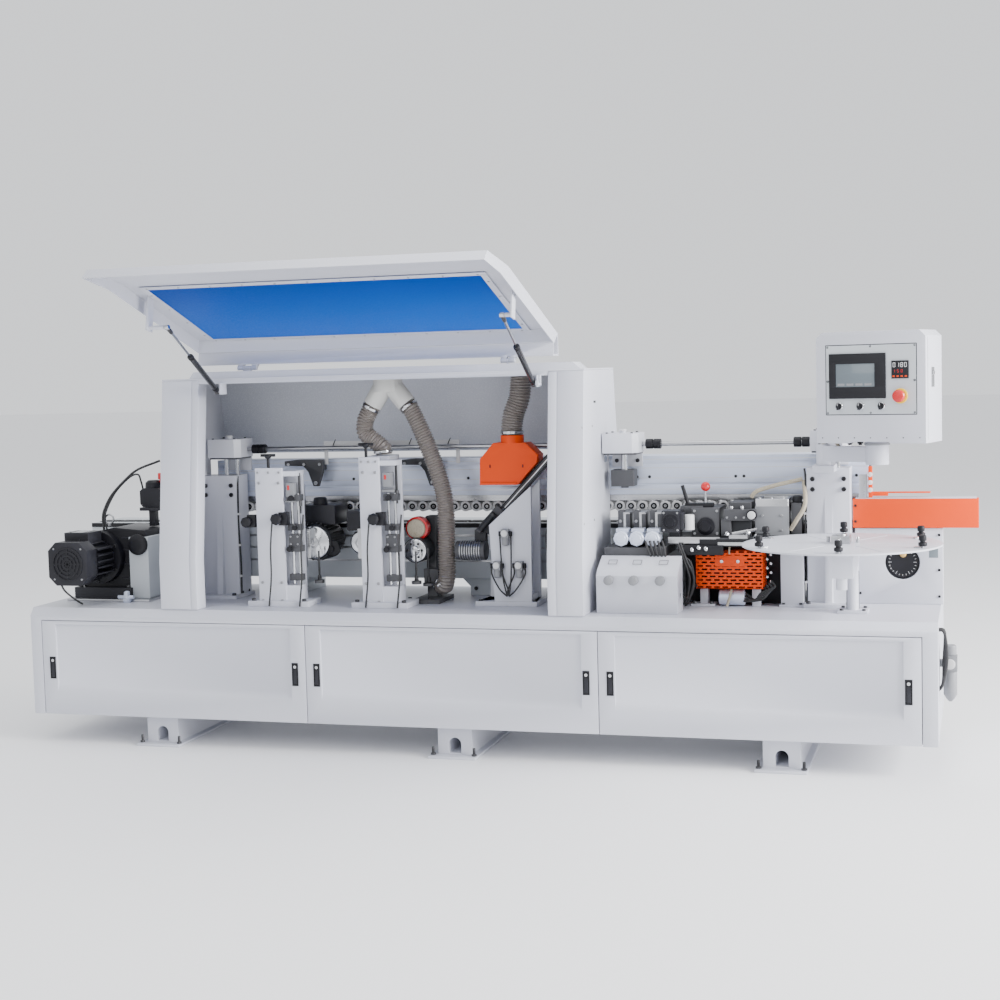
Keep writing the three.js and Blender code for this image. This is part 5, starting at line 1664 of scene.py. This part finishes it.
def build_control():
    refine("control_arm", WHITE, 2)
    refine("control_box", WHITE, 1.5)
    edge = panel_piece("panel_edge", PLASTIC, 0)
    panel_plate(edge, -0.055, 0.997, -0.03, 1.07, -0.2, 0.8)
    edge.done()
    sheet = panel_piece("panel_sheet", GREY, 0)
    panel_plate(sheet, -0.046, 0.988, -0.017, 1.057, 0.2, 1.5)
    sheet.done()
    screws = panel_piece("panel_screws", BOLT, 0.2)
    screws.bolts([on_panel(x, y) for x in (-0.03, 0.47, 0.972) for y in (0.005, 1.035)], TO_FRONT, 3.6, 2.4)
    screws.bolts([on_panel(x, 0.5) for x in (-0.03, 0.972)], TO_FRONT, 4, 3)
    screws.done()
    bezel = panel_piece("screen_bezel", PLASTIC, 1.5)
    for part in ((-0.01, 0.647, 0.228, 0.41), (-0.01, 0.647, 0.77, 0.93), (-0.01, 0.07, 0.40, 0.78),
                 (0.52, 0.647, 0.40, 0.78)):
        panel_plate(bezel, *part, -0.3, 7)
    bezel.done()
    screen = panel_piece("screen", SCREEN, 0.2)
    panel_plate(screen, 0.066, 0.524, 0.405, 0.775, 0.2, 4.6)
    screen.done()
    tabs = panel_piece("screen_tabs", GREY_PLASTIC, 0)
    for k in range(4):
        panel_plate(tabs, 0.09 + 0.105 * k, 0.17 + 0.105 * k, 0.43, 0.465, 4, 4.9)
    tabs.done()
    add_controller()
    add_buttons()
    # Small dark discs of painted shade stand for the holes along the foot of the box's front.
    holes = panel_piece("box_edge_hole_shade", BOLT, 0.1)
    holes.bolts([Vector((x, PANEL_FRONT + 0.2, 14)) for x in steps(-170, 186, 7)], TO_FRONT, 2.2, 1)
    holes.done()
    latch = panel_piece("box_side_latch", STEEL, 0.6)
    latch.block(mm(208, -30, 190), mm(210.5, 0, 260))
    latch.turned(mm(210.5, -15, 240), RIGHT, [(0, 8), (4, 8), (5, 5)], 20)
    latch.done()
    seam = panel_piece("box_door_seam", PLASTIC, 0)
    for x in (-192.4, 207.6):
        seam.block(mm(x, -72, 6), mm(x + 0.8, -70.5, 366))
    seam.block(mm(-166, -72, 391.2), mm(182, -70.5, 392.4))
    seam.done()
    back = panel_piece("box_back_plate", WHITE, 1)
    back.block(mm(-150, 94, 60), mm(166, 97, 340))
    for z in (90, 300):
        back.rod(mm(-192, 60, z - 18), mm(-192, 60, z + 18), 5)
    back.done()
    glands = panel_piece("box_cable_glands", PLASTIC, 0.5)
    for x in (-120, -80):
        glands.turned(mm(x, 50, -5.5), DOWN, [(0, 12), (8, 12), (9, 8), (14, 7)], 6)
    glands.done()
    cable = Piece("arm_cable_sleeve", SLEEVE, 0, "control_arm")
    arm_low, arm_high = node_box("control_arm")
    start = Vector((arm_low.x + 26, arm_high.y - 26, arm_high.z - 17))
    cable.tube([start, start + mm(16, -20, 22), start + mm(44, -30, 18), start + mm(60, -36, -8),
                start + mm(66, -38, -26)], 7, 14)
    cable.done()
    bolts = Piece("arm_bolts", BOLT, 0.3, "control_arm")
    bolts.bolts([Vector((arm_low.x + x, arm_high.y - 26, arm_high.z - 17)) for x in (12, 40)], UP, 5, 5)
    bolts.done()
    ring = Piece("swivel_ring", GREY_PLASTIC, 0.8, "control_arm")
    pivot = Vector(JOINT["control_box_swivel"]["pos_m"]) / MM
    ring.ring(pivot - mm(0, 0, 16), UP, 46, 5, 9, 40)
    ring.done()


SEGMENTS = {"a": (0, 1, 8, 2), "b": (4, 0.5, 2, 8), "c": (4, -0.5, 2, 8), "d": (0, -1, 8, 2),
            "e": (-4, -0.5, 2, 8),
            "f": (-4, 0.5, 2, 8), "g": (0, 0, 8, 2)}
DIGITS = {1: "bc", 8: "abcdefg", 0: "abcdef", 5: "acdfg"}


def add_controller():
    """The temperature controller: a black face, two rows of lit digits and four keys."""
    face = panel_piece("controller_face", PLASTIC, 1)
    panel_plate(face, 0.713, 0.907, 0.529, 0.805, -0.3, 6)
    face.done()
    for name, material, height, digits, scale in (
        ("upper", WHITE_PLASTIC, 0.74, (0, 1, 8, 0), 0.9), ("lower", RED, 0.645, (1, 5, 0), 0.6),
    ):
        lit = panel_piece(f"controller_{name}_digits", material, 0)
        for place, digit in enumerate(digits):
            centre = on_panel(0.745 + 0.043 * place, height, 6.2)
            for segment in DIGITS[digit]:
                x, z, w, h = SEGMENTS[segment]
                lit.block_at(centre + Vector((x, 0, z * 8)) * scale, Vector((w * scale, 0.6, h * scale)))
        lit.done()
    keys = panel_piece("controller_keys", ORANGE, 0.3)
    for k in range(4):
        keys.block_at(on_panel(0.74 + 0.046 * k, 0.565, 6.4), mm(8, 1.6, 5))
    keys.done()


def add_buttons():
    stop = panel_piece("stop_yellow_ring", YELLOW, 0.4)
    centre = on_panel(0.812, 0.261)
    stop.turned(centre + mm(0, 0.3, 0), TO_FRONT, [(0, 20), (4, 27), (6, 25),
                                             (6.6, 12.5), (2.2, 12)], 40)
    stop.done()
    head = panel_piece("stop_head", RED, 0.5, "emergency_stop")
    head.turned(centre, TO_FRONT, [
        (9.5, 9), (14, 10), (15, 20), (19, 22), (28, 22), (32.5, 18),
        (34, 10), (34.2, 0.6),
    ], 40)
    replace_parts(head.done(), "emergency_stop")
    for index, across in enumerate((0.108, 0.352, 0.596), 1):
        selector = f"selector_{index}"
        centre = on_panel(across, 0.109)
        ring = panel_piece(f"{selector}_bright_ring", CHROME, 0.3, selector)
        ring.turned(centre, TO_FRONT, [(0.4, 13), (3, 14), (8, 14), (10, 12)], 36)
        ring.done()
        grip = panel_piece(f"{selector}_grip", PLASTIC, 1, selector)
        grip.turned(centre + mm(0, -9.5, 0), TO_FRONT, [(0, 11.5), (3, 11.5), (4, 10)], 32)
        grip.block_at(centre + mm(0, -18, 0), mm(8, 16, 25))
        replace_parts(grip.done(), selector)
        mark = panel_piece(f"{selector}_mark", WHITE_PLASTIC, 0, selector)
        mark.block_at(centre + mm(0, -26.2, 7), mm(1.6, 0.8, 9))
        mark.done()


# ---- Floor and light ----

def add_stage():
    floor_mesh = bmesh.new()
    bmesh.ops.create_grid(floor_mesh, x_segments=2, y_segments=2, size=60)
    data = bpy.data.meshes.new("studio_floor")
    floor_mesh.to_mesh(data)
    floor_mesh.free()
    floor = bpy.data.objects.new("studio_floor", data)
    scene.collection.objects.link(floor)
    material = finish("studio_floor", (0.90, 0.90, 0.91), 0.6, grain=40, bump=0.02,
                      vary=0.004)
    data.materials.append(material)
    world = bpy.data.worlds.new("studio")
    world.use_nodes = True
    world.node_tree.nodes["Background"].inputs["Color"].default_value = (0.95, 0.97, 1.0, 1)
    world.node_tree.nodes["Background"].inputs["Strength"].default_value = 1.2
    scene.world = world
    add_light("key", (7.5, -1.6, 3.0), (0.4, 0, 0.9), 3.6, 1500)
    add_light("front", (-1.5, -7.0, 3.6), (0, 0, 0.8), 4.0, 60)
    add_light("top", (0, -0.5, 5.5), (0, 0, 0.8), 5.0, 170)


def add_light(name, place, target, size, power):
    data = bpy.data.lights.new(name, "AREA")
    data.shape = "SQUARE"
    data.size = size
    data.energy = power
    lamp = bpy.data.objects.new(name, data)
    aim = (Vector(target) - Vector(place)).to_track_quat("-Z", "Y")
    lamp.matrix_world = Matrix.Translation(place) @ aim.to_matrix().to_4x4()
    scene.collection.objects.link(lamp)


add_camera()
build_base()
build_conveyor()
build_beam()
build_lift()
build_hood()
build_lid()
build_drive()
build_trimming()
build_hoses()
build_pressure_box()
build_press_unit()
build_tape_table()
build_glue_unit()
build_infeed()
build_coil()
build_control()
add_stage()
